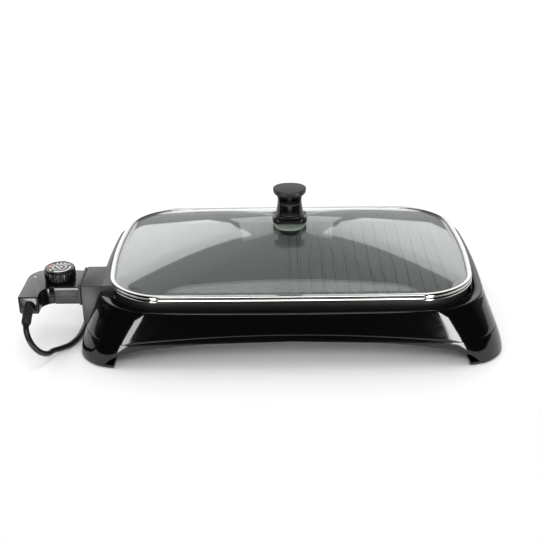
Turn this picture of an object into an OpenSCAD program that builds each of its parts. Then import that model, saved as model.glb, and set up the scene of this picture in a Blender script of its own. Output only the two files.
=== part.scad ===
// Electric indoor grill with a lift-off glass lid, in millimetres.
// +X is to the right, -Y is the front, +Z is up. The origin is the middle of the grill on the table.

/* [Lid] */
// Width of the lid over its rim
lid_w = 451.4; // [400:0.1:500]
// Depth of the lid over its rim
lid_d = 285; // [250:0.5:320]
// Corner radius of the lid
lid_corner_r = 57.6; // [45:0.1:70]
// How far the left and right edges of the lid bulge
lid_side_bow = 13.7; // [8:0.1:18]
// How far the front and back edges of the lid bulge
lid_front_bow = 1.6; // [0.5:0.1:4]
// Height of the steel rim
rim_h = 8.5; // [7:0.1:11]
// Thickness of the steel rim
rim_t = 0.8; // [0.5:0.1:1.2]
// Thickness of the glass
glass_t = 4; // [3:0.5:4.5]
// Rise of the glass dome above its edge
dome_h = 36.8; // [25:0.1:50]

/* [Frame] */
// How far the deck reaches past the lid on the left and right
deck_side = 11.5; // [9:0.1:20]
// How far the deck reaches past the lid at the front and back
deck_front = 11.4; // [9:0.1:18]
// Corner radius of the deck
deck_corner_r = 59.8; // [50:0.1:70]
// Height of the deck above the table
deck_z = 72.4; // [68:0.1:85]
// How far the feet reach past the deck on the left and right
foot_side = 23.8; // [14:0.1:32]
// How far the feet reach past the deck at the front and back
foot_front = 3.6; // [1:0.1:10]
// Corner radius of the feet
foot_corner_r = 50; // [42:1:58]
// Thickness of the moulded walls
wall_t = 2.6; // [2:0.1:3.2]
// Height of the crease at the middle of the front
crease_mid_z = 44.5; // [42:0.5:48]
// Height of the crease at the corners
crease_corner_z = 31.5; // [28:0.5:36]
// Height of the front and back arches
arch_front_h = 35.5; // [25:0.5:36]
// Height of the side arches
arch_side_h = 19; // [10:0.5:21]
// Thickness of the rubber pads that shows below the feet
pad_t = 1; // [0.8:0.1:2]
// Diameter of a rubber pad
pad_d = 16; // [12:1:20]

/* [Plate] */
// Thickness of the cooking plate
plate_t = 6; // [5:0.5:7]
// Depth of the cooking surface below the plate's top edge
pan_depth = 8; // [6:0.5:9]
// Spacing of the ridges
ridge_pitch = 15.2; // [12:0.1:20]
// Width of a ridge at its foot
ridge_w = 5; // [4:0.5:7]
// Height of a ridge
ridge_h = 2.5; // [1.5:0.1:4]
// Diameter of the heater tube
heater_d = 7; // [6:0.5:7.5]
// Thickness of the heat shield
shield_t = 0.8; // [0.6:0.1:1.2]
// Depth of the heat shield's pan
shield_depth = 8; // [6:0.5:9]

/* [Knob] */
// Width of the knob's cap
cap_w = 42; // [36:0.5:48]
// Width of the knob's waist
waist_w = 30; // [28.5:0.5:33]
// Width of the grip where it meets the flange
grip_foot_w = 37; // [34:0.5:40]
// Height of the grip above its flange
grip_h = 38; // [34:0.5:44]
// Width of the flange
flange_w = 44; // [41:0.5:50]
// Depth of the flange, front to back
flange_d = 30; // [28:0.5:36]
// Height of the flange
flange_h = 9; // [7:0.5:11]
// Diameter of the knob's screw
knob_screw_d = 5; // [4:0.5:6]

/* [Socket] */
// Width of the socket guard, left to right
guard_w = 35; // [32:0.5:40]
// Depth of the socket guard, front to back
guard_d = 57.8; // [54:0.1:64]
// Height of the socket guard
guard_h = 51.3; // [48:0.1:52]
// Distance of the socket in front of the middle
socket_front = 61; // [58:0.5:66]
// Spacing of the two power pins
pin_pitch = 32; // [30:0.5:34]
// Diameter of the power pins
pin_d = 4.8; // [4:0.1:5]
// Diameter of the sensing probe
probe_d = 6; // [5:0.1:6.5]

/* [Control] */
// Width of the control from its left side to the arm's end
control_w = 69; // [66:0.5:76]
// Width of the arm, front to back, where it is plugged in
arm_d = 49; // [48:0.5:52]
// Width of the leg that holds the cord
leg_w = 24.5; // [23:0.5:28]
// Length of the leg in front of the arm
leg_l = 27.5; // [22:0.5:32]
// Height of the control
control_h = 23; // [22:0.5:26]
// Thickness of the control's walls
cover_t = 2; // [1.6:0.1:2.4]
// Diameter of the dial
dial_d = 38.6; // [34:0.1:42]
// Height of the dial
dial_h = 15.2; // [12:0.1:18]
// Diameter of the dial's shaft
shaft_d = 6; // [5:0.1:7]
// Diameter of the indicator lens
lens_d = 5; // [4:0.5:6]

/* [Cord] */
// Diameter of the cord
cord_d = 7; // [6.5:0.1:7.2]
// Length of the strain relief outside the control
relief_l = 27; // [24:0.5:30]
// Radius of the stored coil at the middle of its turns
coil_r = 38.5; // [37:0.5:42]
// Diameter of the plug
plug_d = 27; // [24:0.5:27.4]

/* [Hidden] */
$fn = 48;

// Gap between faces that rest on each other in different bodies
rest_gap = 0.2;
// Gap between parts that pass through each other
fit_gap = 0.3;
// Running gap of a shaft in its bore
run_gap = 0.05;
// Overreach of a cut beyond the face that it opens
cut = 1;

// Outlines: half width, half depth, corner radius, bulge of the front, bulge of the sides
seg_front = 8;
seg_corner = 10;
seg_side = 6;
seg_quarter = seg_front + seg_corner + seg_side;
deck_w = lid_w + 2 * deck_side;
deck_d = lid_d + 2 * deck_front;
foot_w = deck_w + 2 * foot_side;
foot_d = deck_d + 2 * foot_front;
deck_front_bow = 7.7;
deck_side_bow = 8.8;
foot_front_bow = 5;
foot_side_bow = 2;
lid_o = [lid_w / 2 - lid_side_bow, lid_d / 2 - lid_front_bow, lid_corner_r, lid_front_bow, lid_side_bow];
deck_o = [deck_w / 2 - deck_side_bow, deck_d / 2 - deck_front_bow, deck_corner_r, deck_front_bow, deck_side_bow];
foot_o = [foot_w / 2 - foot_side_bow, foot_d / 2 - foot_front_bow, foot_corner_r, foot_front_bow, foot_side_bow];

// Heights
plate_top_z = deck_z + 8.1;
cook_z = plate_top_z - pan_depth;
plate_bottom_z = cook_z - plate_t;
rim_z = plate_top_z + rest_gap;
rim_top_z = rim_z + rim_h;
glass_edge_z = rim_top_z - rim_t - rest_gap;
glass_top_z = glass_edge_z + dome_h;
glass_under_z = glass_top_z - glass_t;
ledge_z = deck_z - 26.4;
ledge_top_z = ledge_z + wall_t;
notch_l = 72;
heater_z = plate_bottom_z - heater_d / 2 - run_gap * 2;

// Offsets from the lid's outline
groove_d = 3.2;
lip_d = -0.8;
plate_d = -3;
ledge_d = -14;
leg_d = -8.5;
edge_d = -6.5;
shield_d = -1.5;

// Knob
knob_seal_t = 0.4;
flange_z = glass_top_z + knob_seal_t + 0.1;
grip_z = flange_z + flange_h;
cap_z = grip_z + grip_h;
shelf_t = 2.2;
upper_shelf_z = grip_z + grip_h * 0.5;
lower_shelf_z = grip_z + 5;
boss_d = 25;
boss_h = 9;
washer_t = 2;
washer_d = 40;
hub_t = 1.1;
washer_z = glass_under_z - fit_gap - hub_t - washer_t;
boss_z = washer_z - boss_h;
screw_head_h = 3;

// Socket and control
socket_y = -socket_front;
guard_top_z = plate_top_z - 1;
guard_z = guard_top_z - guard_h;
guard_x1 = -(deck_w / 2 - 15);
guard_x0 = guard_x1 - guard_w;
guard_wall = 3;
guard_y0 = socket_y - 0.6 - guard_d / 2;
guard_y1 = guard_y0 + guard_d;
guard_low_x = guard_x1 - 6.8;
pin_ys = [socket_y - pin_pitch / 2, socket_y + pin_pitch / 2];
socket_z = heater_z;
sleeve_r = pin_d / 2 + 1.5;
nose_l = 19.5;
nose_d = pin_pitch + 2 * sleeve_r + 3;
nose_h = 2 * sleeve_r + 9;
collar_t = 2.7;
collar_x0 = guard_x0 - fit_gap - collar_t;
control_x1 = collar_x0 - run_gap * 2;
control_x0 = control_x1 - control_w;
control_z = deck_z - 19.4;
control_top_z = control_z + control_h;
arm_front_y = socket_y - arm_d / 2;
arm_back_y = socket_y + arm_d / 2;
leg_x = control_x0 + leg_w;
leg_y = arm_front_y - leg_l;
elbow_r = 15.5;
back_r = 25;
back_step = 4.5;
end_r = 2.5;
seam_z = control_z + 10.5;
block_x0 = control_x1 - 31;
block_top_z = control_top_z - 4.7;
dial_x = control_x1 - 26.9;
dial_y = socket_y + 1;
dial_z = control_top_z + fit_gap;
switch_l = 23;
switch_d = 20;
switch_h = 14;
switch_z = control_z + cover_t;
switch_x0 = dial_x - switch_l / 2;
lens_x = control_x0 + 9.1;
lens_y = arm_back_y - 18.8;
cover_screws_xy = [
    [leg_x - 6, leg_y + 16],
    [control_x0 + 7, arm_front_y + 15],
    [leg_x + 2, arm_back_y - 3.5]
];
screw_r = 1.1;

// Cord: where it leaves the control, and how far it points down
relief_x = control_x0 + leg_w / 2 + 0.75;
relief_z = control_z + 12.2;
relief_tilt = 30;
relief_tip = [
    relief_x,
    leg_y - 0.2 - relief_l * cos(relief_tilt),
    relief_z - relief_l * sin(relief_tilt)
];
// Points along the free part of the cord, from the strain relief to the coil
cord_route = [
    [-315.2, -141.6, 46.9], [-313.2, -145.4, 40.8], [-310.4, -147.4, 34.4], [-307.1, -147.5, 27.9],
    [-303, -145.3, 21], [-298.4, -140.1, 14.5], [-294.1, -132.5, 10.2], [-290.5, -123.6, 8.7],
    [-285.6, -116.3, 6.7], [-280.1, -108.7, 5.1], [-275.1, -100.6, 3.9], [-271.3, -91.8, 3.6],
    [-268.4, -82.3, 3.6], [-266.6, -71.4, 3.6], [-265.3, -56, 3.6], [-265, -40, 3.6], [-265, -20, 3.6],
    [-265, 0, 3.6], [-265, 20, 3.6], [-265, 40, 3.6], [-265, 60, 3.6], [-265.5, 80, 3.6],
    [-266, 98, 3.6], [-265.5, 113, 3.6], [-262, 127, 3.6], [-255, 139, 3.6], [-245, 149.5, 3.6],
    [-232, 158.5, 3.7], [-217.5, 166, 4], [-201.5, 171, 4.4], [-185, 172.5, 4.6]
];
tie_t = 0.8;
coil_z = 1.1;
coil_x = -185;
coil_front = 172.5;
coil_y = coil_front + coil_r + cord_d;
coil_w = 3 * cord_d + 0.2;
coil_h = 2 * cord_d + 0.2;
lead_z = coil_z + 0.1 + cord_d * 1.5;
plug_x = -137;
plug_y = 174.5;
plug_z = plug_d / 2 + 0.1;
// Points along the short end of the cord, from the coil to the plug
lead_route = [
    [coil_x, coil_front, lead_z], [-172, 172.8, 11.9], [-160, 173.5, 12.6], [-148, 174.2, plug_z - 0.2],
    [plug_x, plug_y, plug_z]
];

// ---------- shared shapes ----------

function unit(v) = v / norm(v);

// One point of a quarter outline, grown by d, before it is mirrored
function quarter_pt(o, d, m) =
    let (a = o[0] + d, b = o[1] + d, r = o[2] + d)
    let (t = 90 * (m - seg_front) / seg_corner)
    let (p = m < seg_front ? [(a - r) * m / seg_front, b]
        : m < seg_front + seg_corner ? [a - r + r * sin(t), b - r + r * cos(t)]
        : [a, (b - r) * (1 - (m - seg_front - seg_corner) / seg_side)])
    [
        p.x + o[4] * (1 - pow(p.y / b, 2)) * p.x / a,
        p.y + o[3] * (1 - pow(p.x / a, 2)) * p.y / b
    ];

// One point of a whole outline, clockwise from the middle of the back
function outline_pt(o, d, i) =
    let (q = floor(i / seg_quarter), k = i % seg_quarter)
    let (p = quarter_pt(o, d, q % 2 == 0 ? k : seg_quarter - k))
    [p.x * (q < 2 ? 1 : -1), p.y * (q == 0 || q == 3 ? 1 : -1)];

function outline(o, d) = [for (i = [0 : 4 * seg_quarter - 1]) outline_pt(o, d, i)];
function ring(o, d, z) = [for (p = outline(o, d)) [p.x, p.y, z]];

// Solid through a list of rings, from the lowest up its outside; a closed one ends where it starts
module skin(rings, closed = false) {
    n = len(rings[0]);
    m = len(rings);
    last = closed ? m - 1 : m - 2;
    points = [for (r = rings) each r];
    sides = [
        for (j = [0 : last]) for (i = [0 : n - 1])
            let (a = j * n + i, b = j * n + (i + 1) % n)
            let (c = ((j + 1) % m) * n + (i + 1) % n, d = ((j + 1) % m) * n + i)
            each [[a, b, c], [a, c, d]]
    ];
    bottom = [for (i = [n - 1 : -1 : 0]) i];
    top = [for (i = [0 : n - 1]) (m - 1) * n + i];
    polyhedron(points = points, faces = closed ? sides : concat(sides, [bottom, top]), convexity = 10);
}

// Rounded rectangle in the plane, clockwise
function rounded(w, h, r) = [
    for (q = [0 : 3]) for (i = [0 : 5])
        let (t = 90 - 90 * q - 18 * i)
        [
            (q < 2 ? 1 : -1) * (w / 2 - r) + r * cos(t),
            (q == 0 || q == 3 ? 1 : -1) * (h / 2 - r) + r * sin(t)
        ]
];

// Cylinder along +X from a point
module rod_x(p, l, r) translate(p) rotate([0, 90, 0]) cylinder(h = l, r = r);

// Swept round tube through a list of points
function tangent(p, i) = unit(p[min(i + 1, len(p) - 1)] - p[max(i - 1, 0)]);
function side_of(u, t) = unit(u - (u * t) * t);
function sides_along(p) = [
    for (i = 0, u = unit(cross(tangent(p, 0), [0, 0, 1])); i < len(p);
        i = i + 1, u = side_of(u, tangent(p, min(i, len(p) - 1)))) u
];
module tube(p, r, sides) {
    across = sides_along(p);
    skin([
        for (i = [0 : len(p) - 1]) let (t = tangent(p, i), u = across[i], v = cross(t, u)) [
            for (k = [0 : sides - 1]) p[i] + r * (cos(360 * k / sides) * u - sin(360 * k / sides) * v)
        ]
    ]);
}

// ---------- base ----------

// How far the skirt has flared towards the feet at a height
function flare(z) = lookup(z / deck_z, [[0, 1], [0.07, 0.98], [0.19, 0.9], [0.28, 0.82], [0.43, 0.66], [1, 0]]);
function skirt_o(z) = deck_o + flare(z) * (foot_o - deck_o);

foot_reach_x = foot_w / 2 - 40;
foot_reach_y = foot_d / 2 - 62.5;
crease_step = 1;
sole_t = 3;
function ref_pt(i) = outline_pt(skirt_o(20), 0, i);
function arch_z(i) =
    let (p = ref_pt(i), tx = abs(p.x) / foot_reach_x, ty = abs(p.y) / foot_reach_y)
    let (front = lookup(tx, [[0, 1], [0.49, 0.9], [0.6, 0.84], [0.75, 0.72], [0.85, 0.62], [0.95, 0.36], [1, 0]]))
    let (side = lookup(ty, [[0, 1], [0.6, 0.95], [0.8, 0.75], [0.9, 0.45], [1, 0]]))
    pad_t + max(arch_front_h * front, arch_side_h * side);
function crease_z(i) =
    let (t = abs(ref_pt(i).x) / (foot_reach_x - 19))
    crease_corner_z + (crease_mid_z - crease_corner_z) * max(0, 1 - t * t);
// Ring on the skirt, where s is 0 at its lower edge, 1 at the crease and 2 at the deck
function skirt_ring(s, d, dz = 0) = [
    for (i = [0 : 4 * seg_quarter - 1])
        let (low = arch_z(i), mid = crease_z(i))
        let (z = dz + (s <= 1 ? low + (mid - low) * s : mid + (deck_z - mid) * (s - 1)))
        let (p = outline_pt(skirt_o(z), d, i))
        [p.x, p.y, z]
];

module in_corners(x, y) {
    for (sx = [-1, 1]) for (sy = [-1, 1]) translate([sx * x, sy * y, 0]) children();
}

post_in_x = 49;
post_in_y = 51.5;
foot_post_x = foot_w / 2 - post_in_x;
foot_post_y = foot_d / 2 - post_in_y;
post_d = pad_d - 2;
sole_w = 50;
sole_l = 70;
screw_in_x = 10;
screw_in_y = 9;
screw_side_x = 75;
screw_side_y = 30;
shield_screws_xy = [
    for (sx = [-1, 1]) for (sy = [-1, 1]) [sx * screw_side_x, sy * (lid_d / 2 - screw_in_y)],
    [lid_w / 2 - screw_in_x, screw_side_y], [-(lid_w / 2 - screw_in_x), screw_side_y]
];
legs_x = 140;
legs_y = lid_d / 2 - lid_front_bow + leg_d + lid_front_bow * (1 - pow(legs_x / lid_o[0], 2));
buffer_t = 1.5;
peg_r = 2;

module base_housing() {
    color("#101012") difference() {
        union() {
            skin([
                skirt_ring(0, 0),
                skirt_ring(0.97, -crease_step),
                skirt_ring(1, 0),
                skirt_ring(1.5, 0),
                ring(deck_o, 0, deck_z - 1.8),
                ring(deck_o, -0.6, deck_z - 0.5),
                ring(deck_o, -2.2, deck_z),
                ring(lid_o, groove_d + 1, deck_z - 0.3),
                ring(lid_o, groove_d - 0.4, deck_z - 2.5),
                ring(lid_o, lip_d + 0.5, deck_z - 2.7),
                ring(lid_o, lip_d, deck_z - 3.3),
                ring(lid_o, lip_d, ledge_top_z),
                ring(lid_o, ledge_d, ledge_top_z),
                ring(lid_o, ledge_d, ledge_z),
                ring(lid_o, lip_d + wall_t, ledge_z),
                ring(lid_o, lip_d + wall_t, deck_z - 2.8 - wall_t),
                ring(deck_o, -wall_t, deck_z - wall_t),
                skirt_ring(1.5, -wall_t),
                skirt_ring(0.97, -wall_t - crease_step),
                skirt_ring(0, -wall_t)
            ], closed = true);
            intersection() {
                translate([0, 0, pad_t]) linear_extrude(sole_t) polygon(outline(foot_o, -wall_t / 2));
                in_corners(foot_w / 2, foot_d / 2) cube([2 * sole_w, 2 * sole_l, deck_z], center = true);
            }
            in_corners(foot_post_x, foot_post_y) translate([0, 0, pad_t])
                cylinder(h = ledge_z + 1 - pad_t, d = post_d);
            for (p = shield_screws_xy) translate([p.x, p.y, ledge_z + 0.5]) cylinder(h = 8, d = 7);
        }
        translate([guard_x0 - 12, guard_y0 - cut, guard_z - cut])
            cube([guard_low_x + cut - guard_x0 + 12, guard_d + 2 * cut, deck_z]);
        translate([guard_x0 - 12, guard_y0 - cut, ledge_z - cut])
            cube([notch_l, guard_d + 2 * cut, deck_z]);
        in_corners(foot_post_x, foot_post_y) cylinder(h = pad_t + 6 + rest_gap, r = peg_r + run_gap);
        in_corners(legs_x, legs_y) translate([0, 0, ledge_z - cut]) cylinder(h = 8, r = peg_r + run_gap);
        for (p = shield_screws_xy) translate([p.x, p.y, ledge_z - cut])
            cylinder(h = 8 + cut - 0.5, r = screw_r + 0.3 + run_gap);
    }
}

module foot_pads() {
    color("#2a2a2a") in_corners(foot_post_x, foot_post_y) {
        cylinder(h = pad_t, d = pad_d);
        cylinder(h = pad_t + 6, r = peg_r);
    }
}

module plate_buffers() {
    color("#8f8f8c") in_corners(legs_x, legs_y) {
        translate([0, 0, ledge_top_z]) cylinder(h = buffer_t, d = 10);
        translate([0, 0, ledge_z + 0.3]) cylinder(h = wall_t, r = peg_r);
    }
}

module heat_shield() {
    pan_d = ledge_d - 1.2;
    color("#b9bcbe") difference() {
        union() {
            translate([0, 0, ledge_z - shield_t]) linear_extrude(shield_t) polygon(outline(lid_o, shield_d));
            translate([0, 0, ledge_z - shield_depth]) linear_extrude(shield_depth - shield_t / 2)
                polygon(outline(lid_o, pan_d));
        }
        translate([0, 0, ledge_z - shield_depth + shield_t]) linear_extrude(shield_depth)
            polygon(outline(lid_o, pan_d - shield_t));
        for (p = shield_screws_xy) translate([p.x, p.y, ledge_z - 2 * cut]) cylinder(h = 4, r = screw_r + 0.6);
        in_corners(foot_post_x, foot_post_y) translate([0, 0, ledge_z - 2 * cut])
            cylinder(h = 4, r = post_d / 2 + fit_gap);
    }
}

module shield_screws() {
    color("#8c8f92") for (p = shield_screws_xy) translate([p.x, p.y, 0]) {
        translate([0, 0, ledge_z - shield_t - 1.8]) cylinder(h = 1.8, d = 6.4);
        translate([0, 0, ledge_z - shield_t - 0.5]) cylinder(h = 7, r = screw_r + 0.3);
    }
}

// ---------- plate ----------

ridge_x1 = lid_w / 2 - 28;
ridge_count = floor((ridge_x1 - 12) / ridge_pitch) + 1;
ridge_y = lid_d / 2 - 29;
clip_xs = [-60, 100];
loop_r = 40;
loop_x = lid_w / 2 - 35.7;
loop_back = lid_d / 2 - 52.5;
loop_front = pin_ys[0];
loop_left = -(lid_w / 2 - 45.7);
tail_r = 30;
heater_x0 = -(lid_w / 2 - 13.7);
clip_h = heater_d + 0.15;
clip_y = heater_d / 2 + 5.5;
probe_boss_r = probe_d / 2 + 3.4;
probe_boss_l = 66;
bracket_t = 2.4;
bracket_z = plate_bottom_z - fit_gap - bracket_t;
guard_screw_x = guard_x1 + 16;
guard_screw_ys = [guard_y0 + 4.6, guard_y1 - 4.2];

module clip_spots() {
    for (x = clip_xs) for (y = [loop_front, loop_back]) translate([x, y, 0]) children();
}

module griddle_plate() {
    color("#26282b") difference() {
        union() {
            skin([
                ring(lid_o, plate_d, plate_bottom_z),
                ring(lid_o, plate_d, plate_top_z - 0.7),
                ring(lid_o, plate_d - 0.7, plate_top_z),
                ring(lid_o, plate_d - 6, plate_top_z),
                ring(lid_o, plate_d - 7.5, plate_top_z - 0.8),
                ring(lid_o, plate_d - 15, cook_z + 1.2),
                ring(lid_o, plate_d - 19, cook_z)
            ]);
            for (i = [0 : ridge_count - 1]) translate([12 + i * ridge_pitch, 0, cook_z - 0.2]) {
                len_y = 2 * (i > ridge_count - 3 ? ridge_y - 16 : ridge_y);
                rotate([90, 0, 0]) linear_extrude(len_y, center = true) polygon([
                    [-ridge_w / 2, 0], [-ridge_w / 4, ridge_h + 0.2], [ridge_w / 4, ridge_h + 0.2], [ridge_w / 2, 0]
                ]);
            }
            translate([-1.5, -ridge_y - 6, cook_z - 0.2]) cube([3, 2 * ridge_y + 12, 2]);
            clip_spots() for (s = [-1, 1])
                translate([0, s * clip_y, plate_bottom_z - clip_h]) cylinder(h = clip_h + 0.5, r = 3.4);
            in_corners(legs_x, legs_y) translate([0, 0, ledge_top_z + buffer_t + rest_gap])
                cylinder(h = plate_bottom_z + 0.5 - ledge_top_z - buffer_t - rest_gap, d = 9);
            rod_x([heater_x0 + 3, socket_y, socket_z], probe_boss_l, probe_boss_r);
            for (y = guard_screw_ys) translate([guard_screw_x, y, bracket_z + bracket_t + run_gap])
                cylinder(h = fit_gap + 0.5, d = 6);
        }
        clip_spots() for (s = [-1, 1])
            translate([0, s * clip_y, plate_bottom_z - clip_h - cut])
                cylinder(h = clip_h + cut + 3, r = screw_r + 0.3 + run_gap);
        rod_x([heater_x0 + 3 - cut, socket_y, socket_z], probe_boss_l - 4, probe_d / 2 + fit_gap);
        for (y = guard_screw_ys) translate([guard_screw_x, y, plate_bottom_z - 1])
            cylinder(h = 5, r = screw_r + 0.3 + run_gap);
        translate([-(lid_w / 2 - 34), -(lid_d / 2 - 48), cook_z - 2]) cylinder(h = pan_depth, r = 9);
    }
}

module heating_element() {
    r = heater_d / 2;
    color("#6d6a66") translate([0, 0, heater_z]) {
        rod_x([heater_x0, loop_front, 0], loop_x - loop_r - heater_x0, r);
        translate([loop_x - loop_r, loop_front + loop_r, 0]) rotate([0, 0, -90]) rotate_extrude(angle = 90)
            translate([loop_r, 0]) circle(r);
        translate([loop_x, loop_front + loop_r, 0]) rotate([-90, 0, 0])
            cylinder(h = loop_back - loop_front - 2 * loop_r, r = r);
        translate([loop_x - loop_r, loop_back - loop_r, 0]) rotate_extrude(angle = 90)
            translate([loop_r, 0]) circle(r);
        rod_x([loop_left + loop_r, loop_back, 0], loop_x - loop_left - 2 * loop_r, r);
        translate([loop_left + loop_r, loop_back - loop_r, 0]) rotate([0, 0, 90]) rotate_extrude(angle = 90)
            translate([loop_r, 0]) circle(r);
        translate([loop_left, pin_ys[1] + tail_r, 0]) rotate([-90, 0, 0])
            cylinder(h = loop_back - loop_r - pin_ys[1] - tail_r, r = r);
        translate([loop_left - tail_r, pin_ys[1] + tail_r, 0]) rotate([0, 0, -90]) rotate_extrude(angle = 90)
            translate([tail_r, 0]) circle(r);
        if (loop_left - tail_r > heater_x0 + 0.1)
            rod_x([heater_x0, pin_ys[1], 0], loop_left - tail_r - heater_x0, r);
    }
}

module element_clips() {
    color("#a5a8aa") clip_spots() translate([0, 0, plate_bottom_z - clip_h - 1.2]) difference() {
        translate([-5, -clip_y - 4, 0]) cube([10, 2 * clip_y + 8, 1.2]);
        for (s = [-1, 1]) translate([0, s * clip_y, -cut]) cylinder(h = 4, r = screw_r + 0.6);
    }
}

module clip_screws() {
    color("#8c8f92") clip_spots() for (s = [-1, 1]) translate([0, s * clip_y, 0]) {
        translate([0, 0, plate_bottom_z - clip_h - 3]) cylinder(h = 1.8, d = 5.6);
        translate([0, 0, plate_bottom_z - clip_h - 1.5]) cylinder(h = 8, r = screw_r + 0.3);
    }
}

insulator_r = pin_d / 2 + 1.8;
insulator_x0 = guard_low_x - 7;
pin_x0 = guard_x0 + 6.2;

module terminal_pins() {
    color("#b9babb") for (y = pin_ys) rod_x([pin_x0, y, socket_z], heater_x0 - pin_x0, pin_d / 2);
}

module pin_insulators() {
    color("#e6e3dc") for (y = pin_ys) difference() {
        rod_x([insulator_x0, y, socket_z], 10, insulator_r);
        rod_x([insulator_x0 - cut, y, socket_z], 10 + 2 * cut, pin_d / 2 + run_gap);
    }
}

module socket_shroud() {
    color("#3a3b3d") difference() {
        union() {
            difference() {
                translate([guard_x0, guard_y0, guard_z]) cube([guard_low_x - guard_x0, guard_d, guard_h]);
                translate([guard_x0 + guard_wall, guard_y0 + guard_wall, guard_z - cut])
                    cube([guard_low_x - guard_x0 - 2 * guard_wall, guard_d - 2 * guard_wall, guard_h - guard_wall + cut]);
            }
            difference() {
                translate([guard_low_x - 0.5, guard_y0, ledge_top_z + 2.5])
                    cube([30, guard_d, guard_top_z - ledge_top_z - 2.5]);
                translate([guard_low_x - 2, guard_y0 + guard_wall, ledge_top_z])
                    cube([40, guard_d - 2 * guard_wall, guard_top_z - guard_wall - ledge_top_z]);
                translate([0, 0, plate_bottom_z - fit_gap])
                    linear_extrude(40) polygon(outline(lid_o, plate_d + fit_gap));
                translate([guard_x1, guard_y0 - cut, ledge_top_z])
                    cube([40, guard_d + 2 * cut, bracket_z - ledge_top_z]);
                translate([guard_x1 + 20, guard_y0 - cut, ledge_top_z]) cube([40, guard_d + 2 * cut, 40]);
            }
            for (b = [[guard_y0, 8.4], [guard_y1 - 7.4, 7.4]]) translate([guard_x1 - 2, b[0], bracket_z])
                cube([22, b[1], bracket_t]);
        }
        translate([guard_x0 - cut, socket_y - nose_d / 2 - fit_gap, socket_z - nose_h / 2 - fit_gap])
            cube([guard_wall + 2 * cut, nose_d + 2 * fit_gap, nose_h + 2 * fit_gap]);
        for (y = pin_ys)
            rod_x([guard_low_x - guard_wall - cut, y, socket_z], guard_wall + 2 * cut, insulator_r + run_gap);
        rod_x([guard_low_x - guard_wall - cut, socket_y, socket_z], guard_wall + 2 * cut, probe_d / 2 + 2 * fit_gap);
        for (y = guard_screw_ys) translate([guard_screw_x, y, ledge_top_z])
            cylinder(h = 30, r = screw_r + 0.6);
    }
}

module shroud_screws() {
    color("#8c8f92") for (y = guard_screw_ys) translate([guard_screw_x, y, bracket_z]) {
        translate([0, 0, -1.8]) cylinder(h = 1.8, d = 5.6);
        translate([0, 0, -0.5]) cylinder(h = 6.5, r = screw_r + 0.3);
    }
}

// ---------- lid ----------

// Ring on the dome, where s is 1 at its edge and 0 at its top; it turns into an oval towards the top
function dome_o(s) =
    let (front = lid_front_bow + 16 * (1 - s), side = lid_side_bow + 24 * (1 - s))
    let (a = lid_w / 2 + edge_d - side, b = lid_d / 2 + edge_d - front, r = lid_corner_r + edge_d)
    s * [a, b, r + (b - r) * 0.8 * (1 - s), front, side];
dome_steps = [1, 0.86, 0.72, 0.58, 0.44, 0.3, 0.18, 0.08];
function dome_rise(s) = 1 - pow(s, 1.8);
function dome_ring(s, dz) = ring(dome_o(s), 0, glass_edge_z + dome_h * dome_rise(s) / dome_rise(dome_steps[7]) + dz);

module lid_glass() {
    steps = dome_steps;
    color("#cfdcd8", 0.35) difference() {
        skin(concat(
            [for (i = [len(steps) - 1 : -1 : 0]) dome_ring(steps[i], -glass_t)],
            [ring(lid_o, -1.4, glass_edge_z - glass_t), ring(lid_o, -1.4, glass_edge_z)],
            [for (s = steps) dome_ring(s, 0)]
        ));
        translate([0, 0, glass_under_z - 5]) cylinder(h = glass_t + 10, r = knob_screw_d / 2 + 1.5);
    }
}

module lid_rim() {
    color("#c9cccd") skin([
        ring(lid_o, -0.9, rim_z),
        ring(lid_o, 0, rim_z + 0.9),
        ring(lid_o, 0, rim_top_z - 0.9),
        ring(lid_o, -0.9, rim_top_z),
        ring(lid_o, edge_d + 0.4, rim_top_z),
        ring(lid_o, edge_d + 0.4, rim_top_z - rim_t),
        ring(lid_o, -rim_t, rim_top_z - rim_t),
        ring(lid_o, -rim_t, rim_z + rim_t),
        ring(lid_o, edge_d, rim_z + rim_t),
        ring(lid_o, edge_d, rim_z)
    ], closed = true);
}

module lid_gasket() {
    bottom = rim_z + rim_t + 0.05;
    top = glass_edge_z - glass_t - 0.05;
    color("#3c3c3c") skin([
        ring(lid_o, -1.6, bottom),
        ring(lid_o, -1.6, top),
        ring(lid_o, edge_d + 0.3, top),
        ring(lid_o, edge_d + 0.3, bottom)
    ], closed = true);
}

module knob_seal() {
    color("#d9dcda", 0.6) translate([0, 0, glass_top_z + 0.05]) difference() {
        cylinder(h = knob_seal_t, d = 26);
        translate([0, 0, -cut]) cylinder(h = knob_seal_t + 2 * cut, r = knob_screw_d / 2 + 1.5);
    }
}

module knob_flange() {
    function level(z, d) = [for (p = rounded(flange_w + 2 * d, flange_d + 2 * d, 9 + d)) [p.x, p.y, flange_z + z]];
    color("#151516") difference() {
        skin([
            level(0, -3.5), level(0.8, -1.8), level(2.2, -0.6), level(4, 0),
            level(flange_h - 0.8, 0), level(flange_h, -0.8)
        ]);
        translate([0, 0, flange_z - cut]) cylinder(h = flange_h + 2 * cut, r = knob_screw_d / 2 + 0.2);
    }
}

// Oval section of the grip: half width, front, back and height
function oval(w, y0, y1, z, tilt = 0) = [
    for (k = [0 : 39])
        let (t = 90 - 9 * k, c = cos(t), s = sin(t))
        let (x = sign(c) * pow(abs(c), 0.7) * w, y = (y0 + y1) / 2 + sign(s) * pow(abs(s), 0.7) * (y1 - y0) / 2)
        [x, y, z + tilt * y]
];
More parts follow.
